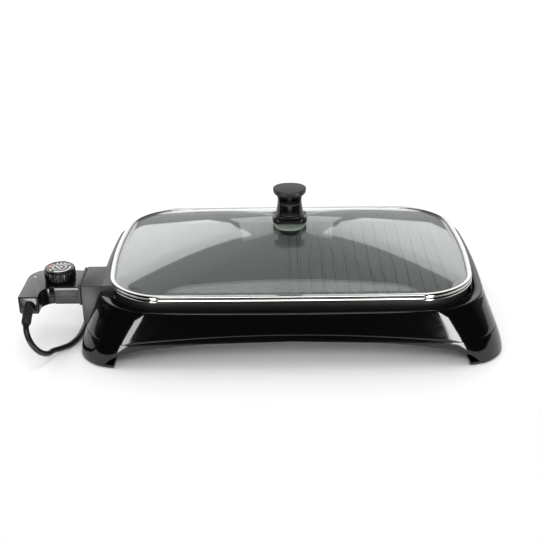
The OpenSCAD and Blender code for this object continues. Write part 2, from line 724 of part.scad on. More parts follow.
// Plan of the cap: round at the back, narrower at the front
function cap_pts(d, z, tilt) = [
    for (k = [0 : 39])
        let (t = 90 - 9 * k, c = cos(t), s = sin(t))
        let (w = cap_w / 2 + d, narrow = s < 0 ? 1 + 0.26 * s : 1)
        let (x = sign(c) * pow(abs(c), s < 0 ? 0.5 : 0.9) * w * narrow)
        let (y = s < 0 ? -2 - (16 + d) * pow(-s, 0.6) : -2 + (14 + d) * s)
        [x, y, z + tilt * y]
];

module knob_grip() {
    body_top = cap_z - 8;
    pocket = [
        for (k = [0 : 12]) [(waist_w / 2 - 2.5) * cos(15 * k), -6 + 10 * sin(15 * k)]
    ];
    color("#4b4b4a") difference() {
        union() {
            difference() {
                union() {
                    skin([
                        oval(grip_foot_w / 2, -flange_d / 2 + 0.5, flange_d / 2 - 0.5, grip_z),
                        oval(grip_foot_w / 2 - 1.3, -14, 14, grip_z + 5),
                        oval(waist_w / 2 + 0.7, -13.5, 12.8, grip_z + 15),
                        oval(waist_w / 2, -13, 12, grip_z + 22),
                        oval(waist_w / 2 + 1, -13.5, 12, grip_z + 27),
                        oval(waist_w / 2 + 2, -14, 11.5, body_top + 2)
                    ]);
                    skin([
                        cap_pts(-5.5, cap_z - 10, 0.12),
                        cap_pts(-1.5, cap_z - 6.5, 0.12),
                        cap_pts(0, cap_z - 5, 0.12),
                        cap_pts(0, cap_z - 1, 0.12),
                        cap_pts(-1, cap_z, 0.12)
                    ]);
                }
                translate([0, 0, grip_z + 1.2]) linear_extrude(body_top - grip_z - 2.2)
                    polygon(concat(pocket, [[-(waist_w / 2 - 2.5), -30], [waist_w / 2 - 2.5, -30]]));
            }
            for (s = [[upper_shelf_z, 12.9, 16.6], [lower_shelf_z, 13.4, 17]])
                translate([0, 0, s[0] - shelf_t]) linear_extrude(shelf_t)
                    polygon([for (k = [0 : 35]) [s[1] * cos(10 * k), -5.5 + (s[2] - 5.5) * sin(10 * k)]]);
            translate([0, 0, grip_z + 0.5]) cylinder(h = grip_h - 9, r = knob_screw_d / 2 + 2);
        }
        translate([0, 0, grip_z - cut]) cylinder(h = 17 + cut, r = knob_screw_d / 2 + run_gap);
    }
}

module knob_washer() {
    color("#d9dcda", 0.6) difference() {
        union() {
            translate([0, 0, washer_z]) cylinder(h = washer_t, d = washer_d);
            translate([0, 0, washer_z + washer_t - 0.5]) cylinder(h = hub_t + 0.5, r = 8);
        }
        translate([0, 0, washer_z - cut]) cylinder(h = 10, r = knob_screw_d / 2 + 0.2);
    }
}

module knob_boss() {
    color("#141414") translate([0, 0, boss_z]) difference() {
        cylinder(h = boss_h, d = boss_d);
        translate([0, 0, -cut]) cylinder(h = screw_head_h + 0.5 + cut, d = knob_screw_d * 2 + 0.8);
        translate([0, 0, -cut]) cylinder(h = boss_h + 2 * cut, r = knob_screw_d / 2 + 0.2);
    }
}

module knob_screw() {
    color("#b9babb") difference() {
        union() {
            translate([0, 0, boss_z + 0.5]) cylinder(h = screw_head_h, d = knob_screw_d * 2);
            translate([0, 0, boss_z + 1]) cylinder(h = grip_z + 16 - boss_z - 1, r = knob_screw_d / 2);
        }
        for (a = [0, 90]) rotate([0, 0, a]) translate([-3, -0.6, boss_z]) cube([6, 1.2, 2]);
    }
}

// ---------- control ----------

// Back edge of the control at x
function control_back_y(x) = arm_back_y + back_step * (control_x1 - x) / (control_x1 - control_x0 - back_r);
// Plan of the control grown by d and ended at x1, clockwise from the front of the arm's end
function control_plan(d, x1 = control_x1) =
    let (past = x1 > leg_x + elbow_r, r = elbow_r - d)
    let (t0 = past ? 90 : acos((x1 - leg_x - elbow_r) / r))
    concat(
        past ? [[x1, arm_front_y - d]] : [],
        [for (k = [0 : 6]) let (t = t0 + (180 - t0) * k / 6)
            [leg_x + elbow_r + r * cos(t), arm_front_y - elbow_r + r * sin(t)]],
        control_end(d, x1)
    );
// The rest of that plan: the leg's end, the left side and the back
function control_end(d, x1) = concat(
    [for (t = [0 : -30 : -90]) [leg_x - end_r + (end_r + d) * cos(t), leg_y + end_r + (end_r + d) * sin(t)]],
    [for (t = [-90 : -30 : -180]) [control_x0 + end_r + (end_r + d) * cos(t), leg_y + end_r + (end_r + d) * sin(t)]],
    [for (t = [180 : -10 : 90]) [
        control_x0 + back_r + (back_r + d) * cos(t),
        arm_back_y + back_step - back_r + (back_r + d) * sin(t)
    ]],
    [[x1, control_back_y(x1) + d]]
);
function control_ring(d, z, x1 = control_x1) = [for (p = control_plan(d, x1)) [p.x, p.y, z]];

module cord_hole() {
    translate([relief_x, leg_y - cut, relief_z]) rotate([-90, 0, 0])
        cylinder(h = cover_t + 2 * cut, r = cord_d / 2 + 1.6);
}

cover_x1 = block_x0 - rest_gap;

module control_top_cover() {
    roof = control_top_z - cover_t;
    low = seam_z + rest_gap;
    color("#111113") difference() {
        union() {
            difference() {
                for (step = [[0, 0.9], [-0.4, 0.3], [-1, 0]]) translate([0, 0, low - 2 * step[0]])
                    linear_extrude(control_top_z - step[1] - low + 2 * step[0]) polygon(control_plan(step[0]));
                translate([0, 0, low - cut]) linear_extrude(roof - low + cut)
                    polygon(control_plan(-cover_t, control_x1 + cut));
                translate([cover_x1, arm_front_y - 5, low - cut])
                    cube([control_w, arm_d + 20, block_top_z + rest_gap - low + cut]);
            }
            for (p = cover_screws_xy) translate([p.x, p.y, control_z + 4.7])
                cylinder(h = roof - control_z - 4.2, r = screw_r + 2.1);
        }
        translate([dial_x, dial_y, roof - cut]) cylinder(h = cover_t + 2 * cut, r = shaft_d / 2 + run_gap);
        translate([lens_x, lens_y, roof - cut]) cylinder(h = cover_t + 2 * cut, r = lens_d / 2 + run_gap);
        for (p = cover_screws_xy) translate([p.x, p.y, control_z + 4]) cylinder(h = 12, r = screw_r + run_gap);
        cord_hole();
    }
}

module control_bottom_cover() {
    color("#111113") difference() {
        union() {
            difference() {
                skin([
                    control_ring(-2.2, control_z, cover_x1), control_ring(-1.3, control_z + 0.6, cover_x1),
                    control_ring(-0.5, control_z + 1.8, cover_x1), control_ring(0, control_z + 4, cover_x1),
                    control_ring(0, seam_z, cover_x1)
                ]);
                translate([0, 0, control_z + cover_t]) linear_extrude(control_h)
                    polygon(control_plan(-cover_t, control_x1 + cut));
            }
            for (p = cover_screws_xy) translate([p.x, p.y, control_z + 1]) cylinder(h = 3.5, r = screw_r + 2.9);
        }
        for (p = cover_screws_xy) {
            translate([p.x, p.y, control_z - cut]) cylinder(h = 10, r = screw_r + 0.3);
            translate([p.x, p.y, control_z - cut]) cylinder(h = 2.2 + cut, r = screw_r + 1.8);
        }
        cord_hole();
    }
}

block_front_y = arm_front_y - 0.2;
block_back_y = arm_back_y - 1;
block_wall = 2.5;

module terminal_housing() {
    l = control_x1 - block_x0;
    d = block_back_y - block_front_y;
    color("#4a4a4b") difference() {
        translate([block_x0, block_front_y, control_z]) cube([l, d, block_top_z - control_z]);
        translate([block_x0 - cut, block_front_y + block_wall, control_z + cover_t])
            cube([l - block_wall + cut, d - 2 * block_wall, control_h]);
        for (y = pin_ys)
            rod_x([control_x1 - block_wall - cut, y, socket_z], block_wall + 2 * cut, sleeve_r + run_gap);
        rod_x([control_x1 - block_wall - cut, socket_y, socket_z], block_wall + 2 * cut, probe_d / 2 + run_gap);
    }
}

module mating_flange() {
    color("#232325") difference() {
        union() {
            translate([collar_x0, 0, 0]) rotate([0, 90, 0]) linear_extrude(collar_t)
                polygon([for (p = rounded(28, arm_d + 8, 4)) [-(control_z + 13.5 + p.x), socket_y - 1.5 + p.y]]);
            translate([collar_x0 + collar_t - 0.2, 0, 0]) rotate([0, 90, 0]) linear_extrude(nose_l + 0.2)
                polygon([for (p = rounded(nose_h, nose_d, 5)) [-(socket_z + p.x), socket_y + p.y]]);
        }
        for (y = pin_ys) rod_x([collar_x0 - cut, y, socket_z], nose_l + collar_t + 2 * cut, sleeve_r + run_gap);
        rod_x([collar_x0 - cut, socket_y, socket_z], nose_l + collar_t + 2 * cut, probe_d / 2 + run_gap);
    }
}

module probe_rod() {
    x0 = switch_x0 + switch_l;
    color("#c9cccd") rod_x([x0, socket_y, socket_z], heater_x0 + 3 + probe_boss_l - 10 - x0, probe_d / 2);
}

sleeve_x0 = collar_x0 - 23.5;

module contact_sleeves() {
    color("#b8a15a") for (y = pin_ys) difference() {
        rod_x([sleeve_x0, y, socket_z], collar_x0 + collar_t + nose_l - 1 - sleeve_x0, sleeve_r);
        rod_x([sleeve_x0 + 3, y, socket_z], 80, pin_d / 2 + fit_gap);
    }
}

module thermostat_switch() {
    color("#7a5b3c") difference() {
        translate([switch_x0, socket_y - switch_d / 2, switch_z]) cube([switch_l, switch_d, switch_h]);
        translate([dial_x, dial_y, switch_z + switch_h - 9]) cylinder(h = 20, r = shaft_d / 2 + run_gap);
    }
}

module inner_wires() {
    r = 1.1;
    back = leg_y + 9.4;
    color("#8c2f24") tube([
        [relief_x - 2.5, back, relief_z], [relief_x - 2.5, back + 9, relief_z],
        [relief_x - 2, back + 24, socket_z + 1], [relief_x + 4, socket_y - 7, socket_z],
        [switch_x0 - 4, socket_y - 3, socket_z], [switch_x0 - 0.1, socket_y - 3, socket_z]
    ], r, 8);
    color("#2f4f7a") tube([
        [relief_x + 0.5, back, relief_z], [relief_x + 0.5, back + 9, relief_z + 1],
        [relief_x + 4, back + 20, relief_z + 2], [relief_x + 14, pin_ys[0] - 0.5, socket_z + 3],
        [sleeve_x0 - 5, pin_ys[0], socket_z + 0.5], [sleeve_x0 - 0.1, pin_ys[0], socket_z]
    ], r, 8);
    color("#8c2f24") tube([
        [switch_x0 - 0.6, socket_y + 5, socket_z], [switch_x0 - 5, socket_y + 7.5, socket_z],
        [switch_x0 - 4.5, pin_ys[1] - 1.5, socket_z], [switch_x0 + 4, pin_ys[1] - 0.5, socket_z],
        [sleeve_x0 - 0.1, pin_ys[1], socket_z]
    ], r, 8);
}

module indicator_lens() {
    color("#c8cfd2") translate([lens_x, lens_y, control_top_z - cover_t - 1]) cylinder(h = cover_t + 1.6, d = lens_d);
}

module indicator_lamp() {
    color("#e0a070") translate([lens_x, lens_y, control_top_z - cover_t - 11.3]) cylinder(h = 10, d = lens_d - 0.8);
}

module cover_screws() {
    color("#8c8f92") for (p = cover_screws_xy) translate([p.x, p.y, control_z]) {
        translate([0, 0, 0.4]) cylinder(h = 1.8, r = screw_r + 1.6);
        translate([0, 0, 1.5]) cylinder(h = 13, r = screw_r);
    }
}

module cord_relief() {
    ribs = [4.6, 8.8, 13, 17.2];
    color("#1b1b1c") {
        translate([relief_x, leg_y, relief_z]) rotate([-90, 0, 0]) {
            translate([0, 0, cover_t + rest_gap]) cylinder(h = 2.4, r = cord_d / 2 + 3);
            translate([0, 0, -0.2]) cylinder(h = 9.4, r = cord_d / 2 + 1.2);
        }
        translate([relief_x, leg_y - 0.2, relief_z]) rotate([90 + relief_tilt, 0, 0]) rotate_extrude() polygon(concat(
            [[0, -1.5], [cord_d / 2 + 0.6, -1.5], [cord_d / 2 + 0.6, 2.8]],
            [for (t = ribs) each [
                [cord_d / 2 + 1.3, t - 1.3], [cord_d / 2 + 3 - t / 25, t - 1],
                [cord_d / 2 + 3 - t / 25, t + 1], [cord_d / 2 + 1.2, t + 1.3]
            ]],
            [[cord_d / 2 + 2.3, 20.2], [cord_d / 2 + 2.3, 24.5], [cord_d / 2 + 1, relief_l], [0, relief_l]]
        ));
    }
}

module power_cord() {
    color("#222223") tube(concat([relief_tip], cord_route), cord_d / 2, 10);
}

module cord_coil() {
    color("#222223") translate([coil_x, coil_y, coil_z]) rotate_extrude()
        polygon([for (p = rounded(coil_w, coil_h, 3.4)) [coil_r + p.x, coil_h / 2 + p.y]]);
}

module cord_tie() {
    w = coil_w + 0.3;
    h = coil_h + 0.3;
    color("#d8d8d4") translate([coil_x + coil_r, coil_y, coil_z + coil_h / 2]) rotate([90, 0, 0])
        linear_extrude(5, center = true) difference() {
            square([w + 2 * tie_t, h + 2 * tie_t], center = true);
            square([w, h], center = true);
        }
}

module plug_lead() {
    color("#222223") tube(lead_route, cord_d / 2, 10);
}

plug_l = 26;
plug_neck = 22;

module plug_body() {
    color("#1b1b1c") translate([plug_x, plug_y, plug_z]) rotate([0, 90, 0]) rotate_extrude() polygon([
        [0, 0], [cord_d / 2 + 0.8, 0], [cord_d / 2 + 2.5, plug_neck], [plug_d / 2 - 1.5, plug_neck],
        [plug_d / 2, plug_neck + 2], [plug_d / 2, plug_neck + plug_l - 1.5], [plug_d / 2 - 1.5, plug_neck + plug_l],
        [0, plug_neck + plug_l]
    ]);
}

module plug_pins() {
    x = plug_x + plug_neck + plug_l;
    color("#c6b37a") {
        for (s = [-1, 1]) translate([x, plug_y + s * 6.35 - 0.75, plug_z - 1.5]) cube([16, 1.5, 6.4]);
        rod_x([x, plug_y, plug_z - 6.5], 19, 2.4);
    }
}

// ---------- dial ----------

module dial_knob() {
    r = dial_d / 2;
    color("#161617") difference() {
        union() {
            translate([dial_x, dial_y, dial_z]) cylinder(h = dial_h, r = r - 0.5);
            for (k = [0 : 35]) translate([dial_x, dial_y, dial_z]) rotate([0, 0, 10 * k])
                translate([r - 0.7, -0.8, 1.5]) cube([0.7, 1.6, dial_h - 3]);
        }
        difference() {
            translate([dial_x, dial_y, dial_z - cut]) cylinder(h = dial_h - 2.5 + cut, r = r - 3);
            translate([dial_x, dial_y, dial_z + 0.5]) cylinder(h = dial_h, r = shaft_d / 2 + 2.5);
        }
        translate([dial_x, dial_y, dial_z - cut]) cylinder(h = dial_h - 2.5 + cut, r = shaft_d / 2 + run_gap);
        translate([dial_x, dial_y, dial_z + dial_h - 0.6]) cylinder(h = 2, r = r - 1.8 + run_gap);
    }
}

module dial_face() {
    color("#d5d5d2") translate([dial_x, dial_y, dial_z + dial_h - 0.6]) cylinder(h = 0.6, r = dial_d / 2 - 1.8);
}

module dial_shaft() {
    bottom = switch_z + switch_h - 8.7;
    color("#c9cccd") translate([dial_x, dial_y, bottom]) cylinder(h = dial_z + dial_h - 2.7 - bottom, d = shaft_d);
}

base_housing();
foot_pads();
plate_buffers();
heat_shield();
shield_screws();
griddle_plate();
heating_element();
element_clips();
clip_screws();
terminal_pins();
pin_insulators();
socket_shroud();
shroud_screws();
lid_glass();
lid_rim();
lid_gasket();
knob_seal();
knob_flange();
knob_grip();
knob_washer();
knob_boss();
knob_screw();
control_top_cover();
control_bottom_cover();
terminal_housing();
mating_flange();
probe_rod();
contact_sleeves();
thermostat_switch();
inner_wires();
indicator_lens();
indicator_lamp();
cover_screws();
cord_relief();
power_cord();
cord_coil();
cord_tie();
plug_lead();
plug_body();
plug_pins();
dial_knob();
dial_face();
dial_shaft();
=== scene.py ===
import math
import bpy
import bmesh
from mathutils import Matrix, Vector


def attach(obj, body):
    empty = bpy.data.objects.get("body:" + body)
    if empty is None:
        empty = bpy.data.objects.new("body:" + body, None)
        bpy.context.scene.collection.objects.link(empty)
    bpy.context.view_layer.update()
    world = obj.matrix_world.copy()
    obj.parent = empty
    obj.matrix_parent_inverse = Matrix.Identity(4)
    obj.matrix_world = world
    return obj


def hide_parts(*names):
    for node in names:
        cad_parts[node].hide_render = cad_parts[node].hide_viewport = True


# An electric table grill with a lift-off glass lid and a plug-in heat control, built piece by piece.
# Sizes are in millimetres and go into the scene in metres. +X is right, -Y is the front, +Z is up.
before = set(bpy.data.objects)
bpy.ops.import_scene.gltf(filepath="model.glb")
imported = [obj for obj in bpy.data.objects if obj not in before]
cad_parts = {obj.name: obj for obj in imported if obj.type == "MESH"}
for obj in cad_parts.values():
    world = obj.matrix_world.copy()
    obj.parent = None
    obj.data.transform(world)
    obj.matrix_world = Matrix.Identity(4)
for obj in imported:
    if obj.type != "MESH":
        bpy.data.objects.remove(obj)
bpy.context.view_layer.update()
MM = 0.001

# ---------- camera ----------
# A 66 mm lens on a 36 mm square sensor, 1.3 m from the grill and about 25 degrees above it.
CAMERA_PLACE = (-11.273, -1176.809, 610.65)
CAMERA_TURN = [math.radians(a) for a in (-0.7247, 25.2137, -0.8625)]
LENS = 66.19

yaw, pitch, roll = CAMERA_TURN
forward = Vector((math.sin(yaw) * math.cos(pitch), math.cos(yaw) * math.cos(pitch), -math.sin(pitch)))
level = Vector((math.cos(yaw), -math.sin(yaw), 0))
upright = level.cross(forward)
camera_right = level * math.cos(roll) + upright * math.sin(roll)
camera_up = upright * math.cos(roll) - level * math.sin(roll)
camera_data = bpy.data.cameras.new("camera")
camera_data.lens = LENS
camera_data.clip_start, camera_data.clip_end = 0.05, 50
camera = bpy.data.objects.new("camera", camera_data)
bpy.context.scene.collection.objects.link(camera)
camera.matrix_world = Matrix.Translation(Vector(CAMERA_PLACE) * MM) @ Matrix(
    (camera_right, camera_up, -forward)).transposed().to_4x4()
bpy.context.scene.camera = camera

# ---------- power cord ----------
# A three-core mains lead in a smooth black PVC sheath, 7 mm across, extruded in one length.
# It leaves the control through the strain relief, drops to the table, runs back along the left
# side and is wound behind the grill in a flat coil of four turns, two layers high.
CORD_D = 7
RELIEF_TIP = (-316.3, -136.58, 51.7)
CORD_ROUTE = [
    (-315.2, -141.6, 46.9), (-313.2, -145.4, 40.8), (-310.4, -147.4, 34.4), (-307.1, -147.5, 27.9),
    (-303, -145.3, 21), (-298.4, -140.1, 14.5), (-294.1, -132.5, 10.2), (-290.5, -123.6, 8.7),
    (-285.6, -116.3, 6.7), (-280.1, -108.7, 5.1), (-275.1, -100.6, 3.9), (-271.3, -91.8, 3.6),
    (-268.4, -82.3, 3.6), (-266.6, -71.4, 3.6), (-265.3, -56, 3.6), (-265, -40, 3.6),
    (-265, -20, 3.6), (-265, 0, 3.6), (-265, 20, 3.6), (-265, 40, 3.6), (-265, 60, 3.6),
    (-265.5, 80, 3.6), (-266, 98, 3.6), (-265.5, 113, 3.6), (-262, 127, 3.6), (-255, 139, 3.6),
    (-245, 149.5, 3.6), (-232, 158.5, 3.7), (-217.5, 166, 4), (-201.5, 171, 4.4)
]
COIL_X, COIL_Y, COIL_LOW, COIL_HIGH = -185, 218, 4.7, 11.7
COIL_OUTER = 45.5
LEAD_ROUTE = [(-172, 172.9, 11.9), (-160, 173.5, 12.6), (-148, 174.2, 13.4), (-137, 174.5, 13.6)]


def linear(code):
    """sRGB hex code as linear RGBA."""
    parts = [int(code[i:i + 2], 16) / 255 for i in (1, 3, 5)]
    return tuple(c / 12.92 if c <= 0.04045 else ((c + 0.055) / 1.055) ** 2.4 for c in parts) + (1,)


def add(tree, kind, links=None, **settings):
    """A node of that kind, with its settings, and its sockets linked or set."""
    node = tree.nodes.new(kind)
    for key, value in settings.items():
        setattr(node, key, value)
    for socket, value in (links or {}).items():
        if isinstance(value, bpy.types.NodeSocket):
            tree.links.new(value, node.inputs[socket])
        else:
            node.inputs[socket].default_value = value
    return node


def new_material(name):
    """An empty material and its node tree."""
    material = bpy.data.materials.new(name)
    material.use_nodes = True
    material.node_tree.nodes.clear()
    return material, material.node_tree


def show(piece, body, slot, material, *nodes):
    """The piece rides on a body, has its finish, and stands for CAD nodes."""
    piece.data.materials.clear()
    piece.data.materials.append(material)
    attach(piece, body)
    if nodes:
        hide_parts(*nodes)


def coil_point(turn):
    """Point of the coil after so many turns: in along the lower layer, and out along the upper."""
    inner = COIL_OUTER - 2 * CORD_D
    climb = min(max((turn - 2) / 0.18, 0), 1)
    climb = climb * climb * (3 - 2 * climb)
    radius = COIL_OUTER - CORD_D * turn if turn < 2 else inner + CORD_D * max(0, turn - 2.09) * 2 / 1.91
    angle = math.radians(360 * turn - 90)
    return (COIL_X + radius * math.cos(angle), COIL_Y + radius * math.sin(angle),
            COIL_LOW + (COIL_HIGH - COIL_LOW) * climb)


# Plasticised PVC: IOR 1.53, a soft satin skin with the slight waves of the cores below it
cord_pvc, tree = new_material("extruded_pvc_black")
place = add(tree, "ShaderNodeTexCoord")
waves = add(tree, "ShaderNodeTexNoise", {
    "Vector": place.outputs["Object"], "Scale": 1000 / 6, "Detail": 3})
bump = add(tree, "ShaderNodeBump", {"Height": waves.outputs["Fac"], "Strength": 0.08, "Distance": 0.0004})
sheath = add(tree, "ShaderNodeBsdfPrincipled", {
    "Base Color": linear("#141414"), "Roughness": 0.3, "IOR": 1.53, "Normal": bump.outputs["Normal"]})
add(tree, "ShaderNodeOutputMaterial", {"Surface": sheath.outputs["BSDF"]})

cord_points = [RELIEF_TIP] + CORD_ROUTE + [coil_point(i / 24) for i in range(97)] + LEAD_ROUTE
cord_line = bpy.data.curves.new("power_lead", "CURVE")
cord_line.dimensions = "3D"
cord_line.bevel_depth = CORD_D / 2 * MM
cord_line.bevel_resolution = 6
cord_line.resolution_u = 6
cord_line.use_fill_caps = True
spline = cord_line.splines.new("BEZIER")
spline.bezier_points.add(len(cord_points) - 1)
for knot, point in zip(spline.bezier_points, cord_points):
    knot.co = Vector(point) * MM
    knot.handle_left_type = knot.handle_right_type = "AUTO"
power_lead = bpy.data.objects.new("power_lead", cord_line)
bpy.context.scene.collection.objects.link(power_lead)
show(power_lead, "controller", "cord_pvc", cord_pvc, "power_cord", "cord_coil", "plug_lead")


def smooth_mesh(name, mesh, sharp=32):
    """Object from a bmesh in millimetres, smooth except over edges sharper than so many degrees."""
    bmesh.ops.scale(mesh, vec=(MM, MM, MM), verts=mesh.verts)
    bmesh.ops.recalc_face_normals(mesh, faces=mesh.faces)
    data = bpy.data.meshes.new(name)
    mesh.to_mesh(data)
    mesh.free()
    for polygon in data.polygons:
        polygon.use_smooth = True
    data.set_sharp_from_angle(angle=math.radians(sharp))
    made = bpy.data.objects.new(name, data)
    bpy.context.scene.collection.objects.link(made)
    return made


def skin(mesh, rings, closed=False):
    """Wall through rings of points; closed, its last ring joins its first, and else both get caps."""
    rows = [[mesh.verts.new(point) for point in ring] for ring in rings]
    count = len(rows[0])
    for low, high in zip(rows, rows[1:] + ([rows[0]] if closed else [])):
        for i in range(count):
            mesh.faces.new((low[i], high[i], high[(i + 1) % count], low[(i + 1) % count]))
    if not closed:
        mesh.faces.new(rows[0])
        mesh.faces.new(rows[-1][::-1])


def turned(mesh, place, profile, sides=48):
    """Skin turned about the local Z axis of a matrix, through (radius, height) pairs."""
    around = [math.tau * k / sides for k in range(sides)]
    skin(mesh, [[place @ Vector((r * math.cos(t), r * math.sin(t), h)) for t in around]
        for r, h in profile])


ALONG_X = Matrix.Rotation(math.radians(90), 4, "Y")

# ---------- coil tie ----------
# A flat nylon strap, 5 mm wide, closed round the coil.
TIE_X, TIE_Z, TIE_W, TIE_H, TIE_T = COIL_X + 38.5, 8.2, 21.5, 14.5, 0.8

# Moulded nylon 6.6: IOR 1.53, milky white, with the satin skin of the mould
nylon, tree = new_material("moulded_nylon_natural")
place = add(tree, "ShaderNodeTexCoord")
grain = add(tree, "ShaderNodeTexNoise", {
    "Vector": place.outputs["Object"], "Scale": 1000 / 1.5, "Detail": 2})
bump = add(tree, "ShaderNodeBump", {"Height": grain.outputs["Fac"], "Strength": 0.1, "Distance": 0.0002})
strap = add(tree, "ShaderNodeBsdfPrincipled", {
    "Base Color": linear("#dad9d2"), "Roughness": 0.42, "IOR": 1.53, "Normal": bump.outputs["Normal"]})
add(tree, "ShaderNodeOutputMaterial", {"Surface": strap.outputs["BSDF"]})


def rounded(w, h, r, steps=6):
    """Rounded rectangle about the origin, as (x, y) pairs."""
    points = []
    for q in range(4):
        for i in range(steps + 1):
            t = math.radians(90 - 90 * q - 90 * i / steps)
            points.append(((1 if q < 2 else -1) * (w / 2 - r) + r * math.cos(t),
                           (1 if q in (0, 3) else -1) * (h / 2 - r) + r * math.sin(t)))
    return points


mesh = bmesh.new()
skin(mesh, [[(TIE_X + x, COIL_Y + y, TIE_Z + z)
    for x, z in rounded(TIE_W + grow, TIE_H + grow, 3.2 + grow / 2)]
    for grow, y in ((0, -2.3), (2 * TIE_T, -2.5), (2 * TIE_T, 2.5), (0, 2.3))], closed=True)
coil_tie = smooth_mesh("coil_tie", mesh)
show(coil_tie, "controller", "tie_nylon", nylon, "cord_tie")

# ---------- plug ----------
# A three-pin mains plug moulded onto the lead in one piece, with a tapered neck and grip rings.
# Its pins are turned and stamped brass: two flat blades and a longer round one for the ground.
PLUG_X, PLUG_Y, PLUG_Z = -137, 174.5, 13.6

# Soft PVC from an eroded mould: IOR 1.53, matt, with a fine grain
plug_pvc, tree = new_material("moulded_pvc_black")
place = add(tree, "ShaderNodeTexCoord")
grain = add(tree, "ShaderNodeTexNoise", {
    "Vector": place.outputs["Object"], "Scale": 1000 / 0.8, "Detail": 2})
bump = add(tree, "ShaderNodeBump", {"Height": grain.outputs["Fac"], "Strength": 0.2, "Distance": 0.0002})
moulding = add(tree, "ShaderNodeBsdfPrincipled", {
    "Base Color": linear("#191919"), "Roughness": 0.5, "IOR": 1.53, "Normal": bump.outputs["Normal"]})
add(tree, "ShaderNodeOutputMaterial", {"Surface": moulding.outputs["BSDF"]})

mesh = bmesh.new()
neck = []
for k in range(5):
    neck += [(4.4 + 0.28 * k, 4 * k + 0.6), (5.0 + 0.28 * k, 4 * k + 1.0), (5.0 + 0.28 * k, 4 * k + 2.6),
             (4.4 + 0.28 * k, 4 * k + 3.0)]
grip = []
for k in range(6):
    grip += [(13.4, 25 + 3 * k), (13.4, 26.6 + 3 * k), (12.8, 27 + 3 * k), (12.8, 27.6 + 3 * k)]
turned(mesh, Matrix.Translation((PLUG_X, PLUG_Y, PLUG_Z)) @ ALONG_X,
       [(3.6, 0.05)] + neck + [(6, 21), (6.6, 22), (11.6, 22), (12.8, 22.4), (13.4, 23.6)] + grip
       + [(13.4, 44.6), (13.4, 46.4), (12.9, 47.5), (11.9, 48), (6, 48)], 64)
plug_moulding = smooth_mesh("plug_moulding", mesh, 40)
show(plug_moulding, "controller", "cord_pvc", plug_pvc, "plug_body")

# Brass CuZn39: yellow metal, drawn and tumbled, with faint lengthwise lines
brass, tree = new_material("tumbled_brass")
place = add(tree, "ShaderNodeTexCoord")
stretch = add(tree, "ShaderNodeMapping", {"Vector": place.outputs["Object"], "Scale": (0.05, 1, 1)})
lines = add(tree, "ShaderNodeTexNoise", {
    "Vector": stretch.outputs["Vector"], "Scale": 1000 / 0.6, "Detail": 2})
rough = add(tree, "ShaderNodeMapRange", {"Value": lines.outputs["Fac"], "To Min": 0.18, "To Max": 0.34})
metal = add(tree, "ShaderNodeBsdfPrincipled", {
    "Base Color": linear("#c9ab62"), "Metallic": 1, "Roughness": rough.outputs["Result"]})
add(tree, "ShaderNodeOutputMaterial", {"Surface": metal.outputs["BSDF"]})
mesh = bmesh.new()
for side in (-1, 1):
    skin(mesh, [[(x, PLUG_Y + side * 6.35 + u * size, PLUG_Z + 1.7 + v * size)
        for u, v in rounded(1.5, 6.4, 0.3, 3)] for x, size in ((-88.98, 1), (-73.9, 1), (-73, 0.6))])
turned(mesh, Matrix.Translation((-88.98, PLUG_Y, PLUG_Z - 6.5)) @ ALONG_X,
       [(2.4, 0), (2.4, 15.5), (2.1, 17.2), (1.4, 18.4), (0.5, 18.95)], 32)
plug_blades = smooth_mesh("plug_blades", mesh)
show(plug_blades, "controller", "contact_brass", brass, "plug_pins")


# ---------- frame ----------
# The black frame is one injection moulding in heat-resistant ABS, polished to a high gloss.
# Its skirt flares down to four corner feet, with an arch between each pair, a crease round the
# lower part, and an open-topped notch in the left side for the socket guard.
LID = (212, 140.9, 57.6, 1.6, 13.7)
DECK = (228.4, 146.2, 59.8, 7.7, 8.8)
FOOT = (259, 152.5, 50, 5, 2)
DECK_Z, LEDGE_Z, WALL = 72.4, 46, 2.6
POST_X, POST_Y, POST_R, SOLE_X, SOLE_Y = 212, 106, 7, 211, 87.5
SHIELD_SCREWS = [(-75, -133.5), (-75, 133.5), (75, -133.5), (75, 133.5), (215.7, 30), (-215.7, 30)]


def outline(shape, grow=0, fine=3):
    """Points round a bowed rounded rectangle: half width, half depth, corner, front bow, side bow."""
    a, b, r, front_bow, side_bow = shape[0] + grow, shape[1] + grow, shape[2] + grow, shape[3], shape[4]
    quarter = [((a - r) * i / (8 * fine), b) for i in range(8 * fine)]
    quarter += [(a - r + r * math.sin(t), b - r + r * math.cos(t))
                for t in (math.radians(90 * i / (10 * fine)) for i in range(10 * fine))]
    quarter += [(a, (b - r) * (1 - i / (6 * fine))) for i in range(6 * fine)] + [(a, 0)]
    quarter = [(x + side_bow * (1 - (y / b) ** 2) * x / a, y + front_bow * (1 - (x / a) ** 2) * y / b)
               for x, y in quarter]
    down = [(x, -y) for x, y in quarter[-2::-1]]
    half = quarter + down
    return half[:-1] + [(-x, -y) for x, y in half[:-1]]


def level_ring(shape, grow, z):
    """That outline at one height."""
    return [(x, y, z) for x, y in outline(shape, grow)]


def through(x, points):
    """Smooth curve through points with rising x, level where its points turn."""
    if x <= points[0][0]:
        return points[0][1]
    slopes = [(b[1] - a[1]) / (b[0] - a[0]) for a, b in zip(points, points[1:])]
    between = [0 if p * q <= 0 else 2 * p * q / (p + q) for p, q in zip(slopes, slopes[1:])]
    ends = [slopes[0]] + between + [slopes[-1]]
    for (x0, y0), (x1, y1), m0, m1 in zip(points, points[1:], ends, ends[1:]):
        if x <= x1:
            w, t = x1 - x0, (x - x0) / (x1 - x0)
            return (y0 * (1 + 2 * t) * (1 - t) ** 2 + m0 * w * t * (1 - t) ** 2
                    + y1 * t * t * (3 - 2 * t) + m1 * w * t * t * (t - 1))
    return points[-1][1]


